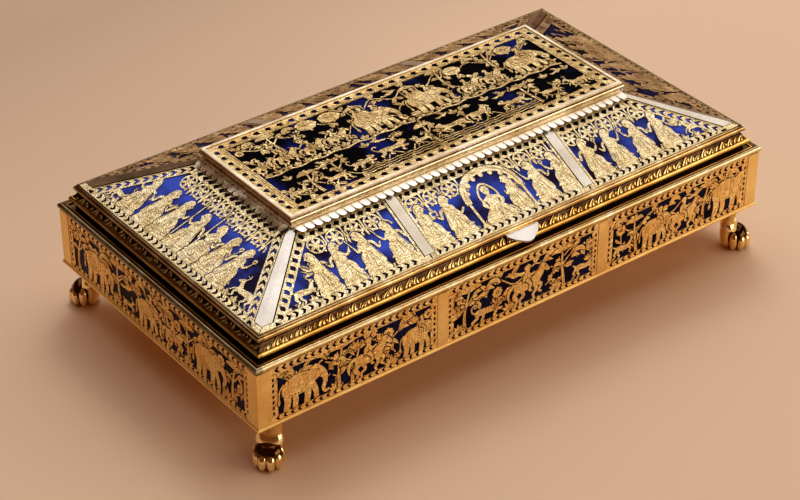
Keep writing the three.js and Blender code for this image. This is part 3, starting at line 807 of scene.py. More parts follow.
def turned(rings, sides=24):
    """A round piece drawn out ring by ring: the rings are pairs of radius and height in mm."""
    bpy.ops.object.select_all(action="DESELECT")
    radius, height = rings[0]
    bpy.ops.mesh.primitive_circle_add(
        vertices=sides, radius=radius * MM, location=(0, 0, height * MM), fill_type="NGON",
    )
    bpy.ops.object.transform_apply()
    bpy.ops.object.mode_set(mode="EDIT")
    bpy.ops.mesh.select_all(action="SELECT")
    for wider, higher in rings[1:]:
        bpy.ops.mesh.extrude_region_move(TRANSFORM_OT_translate={"value": (0, 0, (higher - height) * MM)})
        bpy.ops.transform.resize(value=(wider / radius, wider / radius, 1), center_override=(0, 0, 0))
        radius, height = wider, higher
    bpy.ops.mesh.select_all(action="SELECT")
    bpy.ops.mesh.normals_make_consistent(inside=False)
    bpy.ops.object.mode_set(mode="OBJECT")
    bpy.ops.object.shade_smooth_by_angle(angle=radians(50))
    return bpy.context.object


def scalloped(piece, low, high, count, depth):
    """Draws the edge of a turned piece down in lobes between two heights."""
    for vertex in piece.data.vertices:
        share = (vertex.co.z / MM - high) / (low - high)
        if share > 0:
            around = atan2(vertex.co.y, vertex.co.x)
            vertex.co.z -= min(share, 1) * depth * MM * abs(cos(around * count / 2))


def leaned(piece, flat, lean):
    """Flattens a turned piece to an oval and bends it: lean is the heights and the shift in mm at each."""
    for vertex in piece.data.vertices:
        vertex.co.x = vertex.co.x * flat + float(np.interp(vertex.co.z / MM, *lean)) * MM


def knob(radius, middle):
    """A ball of three radii about its middle, all in mm."""
    bpy.ops.object.select_all(action="DESELECT")
    bpy.ops.mesh.primitive_uv_sphere_add(segments=28, ring_count=18, radius=1)
    piece = bpy.context.object
    for vertex in piece.data.vertices:
        vertex.co = Vector([m + r * c for m, r, c in zip(middle, radius, vertex.co)]) * MM
    bpy.ops.object.shade_smooth()
    return piece


def toe(angle, half):
    """One bent toe of that half height: a knuckle high at the back and a pad that meets the floor."""
    piece = knob((1, 1, 1), (0, 0, 0))
    for vertex in piece.data.vertices:
        x, y, z = vertex.co / MM
        z = abs(z) ** 0.72 * (1 if z > 0 else -1)
        vertex.co = Vector((
            4.45 + 1.35 * x - (0.7 + 0.3 * z) * z * z, 1.5 * y * (1 + 0.06 * z), half + half * z,
        )) * MM
    piece.data.transform(Matrix.Translation((0.9 * MM, 0, 0)) @ Matrix.Rotation(angle, 4, "Z"))
    return piece


foot_x, foot_y = 109, 59.8
toe_angles_and_halves = ((-100, 4.0), (-60, 3.5), (-20, 3.3), (20, 3.3), (60, 3.5), (100, 4.0))
for row, side in rows_and_sides:
    east, north = (1 if side == "right" else -1), (1 if row == "back" else -1)
    stand = Matrix.Translation(Vector((foot_x * east, foot_y * north, 0)) * MM)
    stand = stand @ Matrix.Rotation(atan2(north, east), 4, "Z")
    leg = turned([
        (3.9, 1.4), (4.5, 3.0), (4.4, 5.4), (4.4, 8.2), (4.3, 11.0), (4.3, 13.4), (4.6, 15.6), (5.1, 17.45),
    ])
    leaned(leg, 0.55, ((1, 6, 11, 17.5), (-2.4, -3.0, -2.7, -1.4)))
    made(f"paw_leg_{row}_{side}", warm_gilt)
    cuff = turned([(3.8, 9.4), (4.8, 8.9), (5.1, 9.1), (5.0, 9.7), (4.7, 10.5), (4.3, 11.4)], 36)
    scalloped(cuff, 8.8, 10.0, 7, 0.9)
    leaned(cuff, 0.68, ((8, 11), (-1.8, -2.5)))
    made(f"paw_cuff_{row}_{side}", paw_gilt)
    knob((4.5, 5.2, 4.5), (0.9, 0, 5.0))
    made(f"paw_dome_{row}_{side}", paw_shadow)
    toes = [toe(radians(degrees), half) for degrees, half in toe_angles_and_halves]
    bpy.ops.object.select_all(action="DESELECT")
    for piece in toes:
        piece.select_set(True)
    bpy.context.view_layer.objects.active = toes[0]
    bpy.ops.object.join()
    made(f"paw_toes_{row}_{side}", paw_gilt)
    for part in ("leg", "cuff", "dome", "toes"):
        bpy.data.objects[f"paw_{part}_{row}_{side}"].data.transform(stand)
    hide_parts(f"foot_{row}_{side}")


# ---- lid: shell and mouldings ----
# The lid is raised from sheet and edged with mouldings soldered on, mitred at the corners: a
# rounded one with a pale lip under the eaves, a bed painted dark, partly patina and partly painted
# shade, with a band of chased leaves, and a bead below. A wire lies on the rim under it.
# The left sides of these mouldings, and the back and right sides of the lip, are darkened as painted shade.
lid_gilt = gilding(
    "lid_gilt", (0.74, 0.52, 0.24), (0.36, 0.23, 0.10), 0.24, rubbed=(0.86, 0.76, 0.54), skin_depth=0.00016,
    shaded_sides=[(-1, 0, 108.2, 0.45)],
)
# The cove and the bed under the leaves are near black: partly patina in the hollow, partly painted shade
# under the eaves and painted dark reflection.
cove_gilt = gilding("cove_gilt", (0.11, 0.062, 0.03), (0.035, 0.018, 0.012), 0.3, skin_depth=0.0002)
leaf_gilt = gilding(
    "leaf_gilt", (1.0, 0.86, 0.46), (0.86, 0.58, 0.20), 0.3, skin_depth=0.0002, shaded_sides=[(-1, 0, 110.2, 0.2)],
)
lower_gilt = gilding(
    "lower_gilt", (0.86, 0.60, 0.22), (0.52, 0.31, 0.08), 0.3, skin_depth=0.00016,
    shaded_sides=[(-1, 0, 110.6, 0.5)],
)
wire_gilt = gilding("wire_gilt", (0.90, 0.52, 0.16), (0.60, 0.30, 0.08), 0.4, shaded_sides=[(-1, 0, 110.6, 0.5)])
lip_gilt = gilding(
    "lip_gilt", (0.70, 0.58, 0.34), (0.50, 0.36, 0.16), 0.3, rubbed=(0.92, 0.88, 0.76),
    shaded_sides=[(-1, 0, 108.0, 0.5), (0, 1, 56.5, 0.12), (1, 0, 108.0, 0.12)],
)
finished(cove_gilt, "lid_shell")


def moulding(name, half_x, half_y, rings, material):
    """A mitred band round the casket. The rings are pairs of inset and height in mm, in order."""
    bpy.ops.object.select_all(action="DESELECT")
    inset, height = rings[0]
    x, y = half_x - inset, half_y - inset
    bpy.ops.mesh.primitive_plane_add(size=2 * MM, location=(0, 0, height * MM))
    bpy.ops.object.transform_apply()
    bpy.ops.object.mode_set(mode="EDIT")
    bpy.ops.mesh.select_all(action="SELECT")
    bpy.ops.transform.resize(value=(x, y, 1), center_override=(0, 0, 0))
    bpy.ops.mesh.delete(type="ONLY_FACE")
    bpy.ops.mesh.select_all(action="SELECT")
    for inset, higher in rings[1:] + rings[:1]:
        bpy.ops.mesh.extrude_region_move(TRANSFORM_OT_translate={"value": (0, 0, (higher - height) * MM)})
        bpy.ops.transform.resize(
            value=((half_x - inset) / x, (half_y - inset) / y, 1), center_override=(0, 0, 0),
        )
        x, y, height = half_x - inset, half_y - inset, higher
    bpy.ops.mesh.select_all(action="SELECT")
    bpy.ops.mesh.remove_doubles(threshold=0.00001)
    bpy.ops.mesh.normals_make_consistent(inside=False)
    bpy.ops.object.mode_set(mode="OBJECT")
    bpy.ops.object.shade_smooth_by_angle(angle=radians(40))
    return made(name, material)


eaves_x, cove_x, wire_x, lid_y = 112.2, 111.8, 112.0, 60.3
eaves = moulding("eaves", eaves_x, lid_y, [
    (5.2, 50.3), (5.2, 52.0), (3.0, 52.2), (2.75, 52.4), (2.2, 52.3), (1.65, 51.85), (1.3, 51.2),
    (1.4, 50.6), (1.9, 50.2), (2.6, 50.1),
], lid_gilt)
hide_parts("eaves_bead")
moulding("eaves_lip", eaves_x, lid_y, [
    (3.3, 52.3), (3.05, 52.78), (2.75, 52.86), (2.45, 52.7), (2.3, 52.35), (2.8, 52.1),
], lip_gilt)
moulding("leaf_bed", cove_x, lid_y, [
    (3.4, 45.6), (3.4, 49.6), (2.2, 49.4), (1.6, 48.3), (0.7, 47.3), (0.5, 45.6),
], cove_gilt)
lower = moulding("lower_bead", cove_x, lid_y, [
    (0.9, 46.8), (0.6, 47.25), (0.2, 47.3), (-0.15, 47.0), (-0.4, 46.5), (-0.4, 45.9), (-0.15, 45.4),
    (0.35, 45.1), (0.9, 45.3),
], lower_gilt)
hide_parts("lid_lower_moulding")
moulding("rim_wire", wire_x, lid_y, [
    (-0.55, 43.2), (-0.55, 43.55), (-0.75, 43.78), (-1.05, 43.78), (-1.25, 43.55), (-1.25, 43.2),
], wire_gilt)


def row_of(length, pitch, cells, thickness, shape):
    """A row of small bent sheets along X, from the middle. The shape gives a sheet's points in
    mm, by how far across the sheet they are, -1 to 1, and how far up it, 0 to 1."""
    bpy.ops.object.select_all(action="DESELECT")
    bpy.ops.mesh.primitive_grid_add(x_subdivisions=cells[0], y_subdivisions=cells[1], size=1)
    row = bpy.context.object
    count = round(length / pitch)
    for vertex in row.data.vertices:
        vertex.co = Vector(shape(vertex.co.x * 2, vertex.co.y + 0.5)) * MM
    row.modifiers.new("thick", "SOLIDIFY").thickness = thickness * MM
    repeat = row.modifiers.new("repeat", "ARRAY")
    repeat.count, repeat.use_relative_offset, repeat.use_constant_offset = count, False, True
    repeat.constant_offset_displace = (length / count * MM, 0, 0)
    for modifier in ("thick", "repeat"):
        bpy.ops.object.modifier_apply(modifier=modifier)
    row.data.transform(Matrix.Translation(((length / count - length) / 2 * MM, 0, 0)))
    return row


def set_on_side(row, turn, reach, height, tilt):
    """Tilts a row about its length, pushes it out, lifts it, and turns it to its side."""
    place = Matrix.Translation(Vector((0, -reach, height)) * MM) @ Matrix.Rotation(radians(tilt), 4, "X")
    row.data.transform(Matrix.Rotation(radians(turn), 4, "Z") @ place)


leaf_pitch = 1.9


def leaf(u, v):
    """A pointed leaf, curling up to its tip, with a raised rib between two chased lines."""
    half = (0.5 - 0.40 * v ** 1.6) * leaf_pitch
    rib = (1 - abs(u) ** 1.4) * 0.55 - 0.3 * (abs(abs(u) - 0.5) < 0.1)
    return u * half + v * v * 1.2, v * (1.75 - 0.4 * u), rib * (1 - 0.5 * v) + 0.5 * v * v


turns = {"front": 0, "right": 90, "back": 180, "left": 270}
for side, turn in turns.items():
    length, reach = (218.4, 59.7) if side in ("front", "back") else (115.6, 111.2)
    band = row_of(length, leaf_pitch, (4, 5), 0.14, leaf)
    each = len(band.data.vertices) // round(length / leaf_pitch)
    for vertex in band.data.vertices:
        number, rise = vertex.index // each, vertex.co.y
        bent = (0.5 * sin(number * 1.3), 0.5 * abs(sin(number * 2.4)) - 0.3, 0.25 * sin(number * 3.7))
        vertex.co += Vector(bent) * rise
    bpy.ops.object.shade_smooth_by_angle(angle=radians(35))
    made(f"leaf_band_{side}", leaf_gilt)
    set_on_side(band, turn, reach, 47.35, 44)


# ---- pierced plaques of the roof ----
# Brighter blue glass, let in between the strips of the roof. Ladies stand along each slope under
# a row of ringed rosettes; a band of sawn squares runs beside every hip.
roof_glass = cobalt_glass(
    "roof_glass", (0.014, 0.008, 0.03), (0.055, 0.10, 0.54), 0.7, shade_above=(0.0612, 0.0624),
    shade_below=(0.0545, 0.0585),
)
roof_gold = chased_gold("roof_gold", (0.97, 0.89, 0.63), (0.83, 0.71, 0.41), (0.48, 0.36, 0.15), 0.36)
# Painted shade: the far slopes, at the back and the right end, get this darker glass.
shaded_glass = cobalt_glass(
    "shaded_glass", (0.006, 0.004, 0.012), (0.008, 0.011, 0.09), 0.1, gleam=(0.48, 0.78), polish=1.2,
    shade_above=(0.0612, 0.0624),
)
for name in frame["nodes"]:
    if name.startswith("roof_plaque"):
        finished(shaded_glass if "back" in name or "end_right" in name else roof_glass, name)


def lady(reach, lift, held=None):
    """A standing lady in a wide hemmed skirt and a long veil, facing right, 18 high."""
    out = [
        loop(
            (-0.6, 17.6), (-2.0, 16.4), (-2.4, 13.4), (-3.4, 9.0), (-4.6, 4.4), (-3.4, 3.4), (-1.8, 8.4),
            (-0.4, 13.0), (0.6, 16.4),
        ),
        loop(
            (-1.5, 9.8), (-2.9, 6.0), (-4.8, 1.3), (-4.3, 0.2), (0.0, -0.3), (4.3, 0.2), (4.8, 1.3),
            (3.1, 6.0), (1.6, 9.8), steps=3,
        ),
        loop((-1.4, 9.2), (-1.8, 11.6), (-1.6, 13.3), (0.1, 14.1), (1.7, 13.2), (2.1, 11.8), (1.5, 9.2)),
        limb((0.2, 13.2), (0.3, 15.0), wide=1.2), spot(0.4, 15.9, 1.4, 1.7),
        limb((1.4, 16.2), (2.2, 15.6), wide=0.9, tip=0.3),
        loop(
            (-1.5, 16.0), (-1.3, 17.6), (0.1, 18.3), (1.5, 17.5), (1.5, 16.9), (0.2, 16.9), (-0.6, 15.6),
            steps=3,
        ),
        limb((0.8, 12.9), (2.9, 10.6 + lift), (reach, 12.4 + lift), wide=1.3, tip=0.75),
        limb((-1.3, 12.8), (-2.6, 10.6), (-0.6, 9.2), wide=1.1, tip=0.7),
        limb((-1.6, 12.9), (-3.8, 12.2), (-4.9, 9.4), (-6.4, 11.2), wide=1.1, tip=0.5, belly=0.3),
        limb((1.6, 9.4), (3.0, 7.4), (3.4, 4.6), (4.9, 3.4), wide=0.9, tip=0.45, belly=0.4),
        line((-4.6, 1.9), (0, 1.3), (4.6, 1.9), wide=0.34),
        line((-4.0, 3.0), (0, 2.5), (4.0, 3.0), wide=0.22),
        line((-0.7, 9.0), (-1.6, 5.6), (-2.6, 3.2)), line((0.1, 9.0), (0.0, 5.6), (-0.1, 2.9)),
        line((0.8, 9.0), (1.6, 5.6), (2.5, 3.2)),
        line((-1.6, 9.5), (0.1, 9.1), (1.6, 9.5), wide=0.36),
        line((-0.9, 13.3), (0.2, 12.3), (1.3, 13.2), wide=0.22),
        line((-2.2, 14.6), (-2.7, 10.8), (-3.8, 5.6), wide=0.22),
        hole(1.0, 16.2, 0.24),
    ]
    if held:
        out += moved(held, reach, 12.4 + lift)
    return out


def staff():
    return [limb((0.4, -11.6), (-0.4, 9.4), wide=0.5), spot(-0.4, 9.6, 0.7, sides=8)]


def stick():
    return [limb((-0.6, -1.6), (1.6, 4.6), wide=0.6, tip=0.4)]


def flask():
    return [
        plate(
            (-1.5, -1.6), (1.1, -1.6), (1.4, 0.8), (0.4, 1.4), (0.3, 2.6), (-0.7, 2.6), (-0.7, 1.4),
            (-1.6, 0.8),
        ),
        plate((-0.9, -0.9), (0.6, -0.9), (0.7, 0.3), (-0.9, 0.3), kind=GAP),
    ]


def posy():
    return [limb((0, -1), (0.5, 1.6), wide=0.45), spot(0.5, 2.4, 1.0, sides=8), hole(0.5, 2.4, 0.35)]


def throned_lady():
    """A lady seated on a cushion against a round halo of drapery, 13 wide and 16 high."""
    return [
        limb(
            (-3.0, 6.0), (-3.8, 11.6), (-2.0, 15.6), (0, 16.8), (2.0, 15.6), (3.8, 11.6), (3.0, 6.0),
            wide=0.9,
        ),
        loop(
            (-6.6, 0.2), (-6.8, 2.6), (-3.8, 5.6), (-2.0, 7.2), (2.0, 7.2), (3.9, 5.6), (6.8, 2.6),
            (6.5, 0.2), (0, -0.3),
        ),
        loop((-2.0, 6.2), (-2.5, 8.8), (-2.0, 10.8), (0, 11.6), (2.0, 10.8), (2.5, 8.8), (2.0, 6.2)),
        limb((0, 11.0), (0, 12.6), wide=1.3), spot(0, 13.4, 1.5, 1.8),
        loop(
            (-1.7, 13.4), (-1.4, 15.2), (0, 15.9), (1.4, 15.2), (1.7, 13.4), (0.8, 14.4), (-0.8, 14.4),
            steps=3,
        ),
        limb((-1.8, 10.4), (-4.4, 8.2), (-2.6, 5.8), wide=1.3, tip=0.8),
        limb((1.8, 10.4), (4.4, 8.2), (2.6, 5.8), wide=1.3, tip=0.8),
        line((-6.4, 1.2), (0, 0.8), (6.4, 1.2), wide=0.34),
        line((-2.0, 6.7), (0, 6.3), (2.0, 6.7), wide=0.36),
        line((-1.0, 5.6), (-3.6, 2.0)), line((1.0, 5.6), (3.6, 2.0)), line((0, 5.6), (0, 1.6)),
        line((-4.0, 5.0), (-5.6, 2.2)), line((4.0, 5.0), (5.6, 2.2)),
        line((-1.2, 10.8), (0, 9.9), (1.2, 10.8), wide=0.22),
        hole(-0.55, 13.5, 0.22), hole(0.55, 13.5, 0.22),
    ]


def alcove():
    """A lobed arch on two columns, 24 wide and 23 high."""
    path = [
        (-11.4, 0), (-11.4, 11.0), (-10.2, 16.4), (-6.0, 20.4), (0, 21.8), (6.0, 20.4), (10.2, 16.4),
        (11.4, 11.0), (11.4, 0),
    ]
    lobes = [
        spot(x, y, 1.0, sides=8)
        for x, y in (
            (-9.4, 14.6), (-7.2, 17.4), (-3.8, 19.2), (0, 19.7), (3.8, 19.2), (7.2, 17.4), (9.4, 14.6),
        )
    ]
    foot = [plate((-1.3, 0), (1.3, 0), (0.9, 1.3), (-0.9, 1.3))]
    return [
        limb(*path[1:-1], wide=2.6), limb(*path[:2], wide=1.1), limb(*path[-2:], wide=1.1), *lobes,
        line(*path[1:-1], wide=0.3),
        *(shape for x in (-11.4, 11.4) for y in (0, 10.4) for shape in moved(foot, x, y)),
    ]


def roundel():
    """A six-petalled rosette in a ring, 7 across."""
    out = [spot(0, 0, 3.45, sides=20), spot(0, 0, 2.75, kind=GAP, sides=18)]
    for k in range(6):
        c, s = cos(k * pi / 3 + 0.5), sin(k * pi / 3 + 0.5)
        out.append(limb((0.2 * c, 0.2 * s), (2.95 * c, 2.95 * s), wide=0.5, tip=0.45, belly=0.75, steps=5))
    return out + [spot(0, 0, 0.7, sides=8), spot(0, 0, 0.3, kind=CUT, sides=6)]


def pendant():
    """A three-lobed drop that hangs between two rings."""
    return [
        limb((0, 3.6), (0, -2.6), wide=0.9, tip=0.5),
        limb((0, 0.2), (0, -3.8), wide=0.4, tip=0.2, belly=1.0),
        limb((0, -0.4), (-1.5, -1.5), (-1.9, -2.7), wide=0.7, tip=0.45),
        limb((0, -0.4), (1.5, -1.5), (1.9, -2.7), wide=0.7, tip=0.45),
        spot(-1.95, -2.7, 0.5, sides=7), spot(1.95, -2.7, 0.5, sides=7),
    ]


roof_x, roof_y, roof_foot = 107.1, 55.469, 53.231
below_eaves = 0.77


def roof_scene(node, name, corner, along, slope, scene, rings, gold, squares):
    """Fits a slope's sheet to the CAD plaque: borders, rings and hip squares round the given figures."""
    up = Vector((-along.y, along.x, slope)).normalized()
    places = [vertex.co / MM - corner for vertex in frame["nodes"][node].data.vertices]
    face = [(p.dot(along), p.dot(up)) for p in places if abs(p.dot(along.cross(up))) < 0.05]
    length = max(v for _, v in face)
    foot = sorted(u for u, v in face if v < 0.1)
    head = sorted(u for u, v in face if v > length - 0.1)
    (foot_left, foot_right), (head_left, head_right) = (foot[0], foot[-1]), (head[0], head[-1])
    foot_rail, head_rail = 3.1, 5.8
    skirt = below_eaves * hypot(1, slope) / slope
    foot_left -= (head_left - foot_left) * skirt / length
    foot_right -= (head_right - foot_right) * skirt / length
    corner, length = corner - up * skirt, length + skirt
    out = [
        plate((foot_left, 0), (foot_right, 0), (head_right, length), (head_left, length)),
        panel(foot_left, foot_rail + 0.1, foot_right, length - 2.8, kind=GAP),
        *(shape for u in rings for shape in moved(roundel(), u, length - 8.8)),
        *(shape for u in rings for shape in moved(pendant(), u + 4, length - 9.3)),
        panel(foot_left, length - head_rail, foot_right, length),
    ]
    for k in range(int((foot_right - foot_left - 16) / 5.4)):
        out += moved(shrub(2.6 + k * 5 % 3 * 0.5, 3, 48), foot_left + 9 + 5.4 * k, 2.8)
    out += moved(scene, 0, 1.1) + [
        panel(foot_left, 0, foot_right, foot_rail), line((foot_left, 3.0), (foot_right, 3.0), wide=0.2),
    ]
    for k in range(floor((foot_right - foot_left) / 3.1)):
        out += moved([chevron()], foot_left + 1.6 + 3.1 * k, 1.6)
    pitch = 3.4
    # Slanted holes under the tongues: their near-black glass is partly the gaps between the tongues, partly
    # painted shade for the tongues' shadow.
    shade_holes = [plate((-1.4, -4.1), (-0.2, -2.8), (1.5, -3.2), (0.4, -5.1), kind=GAP)]
    for k in range(floor(foot_left / pitch), floor(foot_right / pitch) + 1):
        out += moved(shade_holes, (k + 0.5) * pitch, length)
    for start, end, inner in ((foot_left, head_left, 1), (foot_right, head_right, -1)):
        edge = Vector((end - start, length)).normalized()
        inward = Vector((edge.y, -edge.x)) * inner
        sloped = abs(end - start) > 5
        wide = 3.6 if sloped else 1.0
        p, q = Vector((start, 0)), Vector((end, length))
        out.append(plate(p - edge, q + edge, q + edge + inward * wide, p - edge + inward * wide))
        if sloped:
            for k in range(floor((q - p).length / 3.5)):
                at = p + edge * (2.2 + 3.5 * k) + inward * 1.75
                if squares and inner > 0:
                    nick = ((-0.9, -0.7), (0.8, -1.15), (0.9, 0.6), (0.1, 1.1), (-0.8, 1.0))
                else:
                    nick = ((-1.5, 1.2), (-0.1, 1.1), (1.5, 0), (-0.1, -1.1), (-1.5, -1.2), (-0.2, 0))
                out.append(plate(*(at + edge * a + inward * b for a, b in nick), kind=GAP))
            out.append(limb(p + inward * 0.5, q + inward * 0.5, wide=0.2, kind=CUT))
        start_out, end_out = p - edge * 9, q + edge * 9
        out.append(plate(start_out, end_out, end_out - inward * 70, start_out - inward * 70, kind=GAP))
    out += [panel(foot_left - 90, low, foot_right + 90, low + 20, kind=GAP) for low in (-20, length)]
    for start, end, outward in ((foot_left, head_left, -1), (foot_right, head_right, 1)):
        old = start + (end - start) * skirt / length
        wide = (roof_x if abs(along.x) else roof_y) - abs(old) if abs(end - start) > 5 else 2.15
        out.append(
            plate((start, 0), (start + outward * wide, 0), (old + outward * wide, skirt), (old, skirt))
        )
    pierced_sheet(name, out, corner, along, up, gold, thickness=0.28)


eaves_front, eaves_back = Vector((0, -roof_y, roof_foot)), Vector((0, roof_y, roof_foot))
eaves_left, eaves_right = Vector((-roof_x, 0, roof_foot)), Vector((roof_x, 0, roof_foot))
slope_front, slope_end = 0.4203, 0.3625
ladies_left = laid(
    (buck(), -91.0, 2.0, 0.82), (shrub(5.0, 5, 70), -78.6, 12.2, 1.0, False, 0.5),
    (lady(4.6, 0.6, posy()), -76.6, 1.9, 1.0, True), (lady(4.8, 1.0, stick()), -66.4, 1.9),
    (lady(3.6, -0.4, stick()), -56.4, 1.9, 1.02, True), (lady(4.4, 0.6, stick()), -44.8, 1.9, 1.0, True),
)
ladies_middle = laid(
    (lady(4.0, 0.0, flask()), -29.4, 1.9, 1.04), (lady(5.2, -1.6), -18.6, 1.9, 1.02),
    (lady(3.4, -1.0), 8.0, 1.8, 0.92, True), (alcove(), 1.0, 1.8, 1.02), (throned_lady(), -1.8, 2.0, 0.98),
    (lady(4.4, 0.4, stick()), 19.4, 1.9, 1.0, True), (lady(4.6, 0.6, posy()), 30.2, 1.9, 1.0, True),
)
ladies_right = laid(
    (lady(4.4, 0.6, posy()), 45.4, 1.9), (lady(4.4, 0.8, stick()), 56.4, 1.9),
    (lady(4.4, 0.2, posy()), 67.6, 1.9, 1.0, True), (lady(4.6, 0.8, stick()), 79.0, 1.9, 0.98),
    (shrub(5.0, 5, 70), 84.6, 9.6, 1.0, False, -0.4), (buck(), 97.4, 2.0, 0.8, True),
)
ladies_end = laid(
    (buck(), -44.6, 1.9, 0.78), (lady(4.2, 0.6, posy()), -32.4, 1.9, 1.02, True),
    (lady(4.8, 1.2), -21.4, 1.9, 1.06),
    (lady(4.2, 0.6), -12.6, 1.9, 1.06), (lady(4.6, 0.8, staff()), -2.2, 1.9, 1.06, True),
    (lady(3.6, 0.8, staff()), 7.6, 1.9, 1.08, True),
    (lady(4.0, 0.4, posy()), 16.4, 1.9, 1.06), (lady(4.2, 0.2, posy()), 25.0, 1.9, 1.04),
    (buck(), 43.6, 1.9, 0.86, True),
)
rings_left = [-71.5 + 8 * k for k in range(4)]
rings_right = [42.8 + 8 * k for k in range(5)]
rings_middle = [-29.4, -21.4, -13.4, 11.6, 19.6, 27.6]
rings_end = [-22.5 + 7.5 * k for k in range(7)]
# Painted shade: the far slopes, at the back and the right end, get this darker, browner copy of the roof
# gold.
shaded_far_gold = chased_gold("shaded_far_gold", (0.84, 0.62, 0.33), (0.40, 0.26, 0.12), (0.12, 0.065, 0.03), 0.4)
for name, corner, along, slope, figures, rings, gold in (
    ("front_left", eaves_front, across, slope_front, ladies_left, rings_left, roof_gold),
    ("front_middle", eaves_front, across, slope_front, ladies_middle, rings_middle, roof_gold),
    ("front_right", eaves_front, across, slope_front, ladies_right, rings_right, roof_gold),
    ("back_left", eaves_back, -across, slope_front, ladies_right, rings_right, shaded_far_gold),
    ("back_middle", eaves_back, -across, slope_front, ladies_middle, rings_middle, shaded_far_gold),
    ("back_right", eaves_back, -across, slope_front, ladies_left, rings_left, shaded_far_gold),
    ("end_left", eaves_left, -inwards, slope_end, ladies_end, rings_end, roof_gold),
    ("end_right", eaves_right, inwards, slope_end, ladies_end, rings_end, shaded_far_gold),
):
    squares = name == "front_left"
    roof_scene(
        f"roof_plaque_{name}", f"roof_scene_{name}", corner, along, slope, figures, rings, gold, squares,
    )
bed = moulding("eaves_bed", eaves_x, lid_y, [
    (5.6, 53.2), (4.85, 53.2), (3.0, 52.4), (3.0, 52.0), (5.6, 52.0),
], shaded_glass)


# ---- pierced plaque of the flat top ----
# One large plaque, the darkest glass under the busiest sheet: a procession above, beasts at
# the water below, and leaf-shaped holes all round inside the moulded frame.
top_glass = cobalt_glass(
    "top_glass", (0.001, 0.0005, 0.002), (0.015, 0.025, 0.20), 0.1, gleam=(0.6, 0.8), polish=1.04,
)
top_gold = chased_gold("top_gold", (0.78, 0.64, 0.36), (0.58, 0.42, 0.19), (0.26, 0.15, 0.05), 0.34)
finished(top_glass, "top_plaque")


def mounted_elephant():
    return [
        *freed(moved(howdah(), 4.8, 12.4, 0.92), 0.28), *elephant(),
        *freed(moved(bust(2.6), 14.4, 12.6, 0.7), 0.25),
    ]


def bush(height, wide):
    """A round-headed tree with a chased, leafy crown."""
    r, middle = wide / 2, height - wide / 2 * 0.75
    crown = []
    for k in range(16):
        a = k * pi / 8
        crown.append((
            r * cos(a) * (1 + 0.08 * cos(5 * a)), middle + r * 0.75 * sin(a) * (1 + 0.06 * cos(7 * a)),
        ))
    return [
        limb((0, -0.3), (0.4, height * 0.3), (0, height * 0.6), wide=0.9), loop(*crown, steps=2),
        *(
            line(
                (0, height * 0.5), (r * 0.75 * cos(radians(a)), middle + r * 0.55 * sin(radians(a))),
                wide=0.22,
            )
            for a in (170, 130, 90, 50, 10)
        ),
    ]


def ripples(length):
    """Water: long wavy lines."""
    out = []
    for y in (0.0, 1.3, 2.6):
        waves = ((x, y + 0.25 * (-1) ** k) for k, x in enumerate(np.arange(0, length + 0.1, 2.6)))
        out.append(limb(*waves, wide=0.45, steps=2))
    return out


def bank(length):
    """Leafy ground: a line of small tufts."""
    ground = ((x, 0.5 * (-1) ** k) for k, x in enumerate(np.arange(0, length + 0.1, 5.0)))
    out = [limb(*ground, wide=0.8, steps=3)]
    for k in range(int(length / 4.2)):
        out += moved(shrub(2.9 + (k * 7 % 3) * 0.5, 3, 42), 2.0 + 4.2 * k, 0.1, 1.0, k % 2 == 1)
    return out


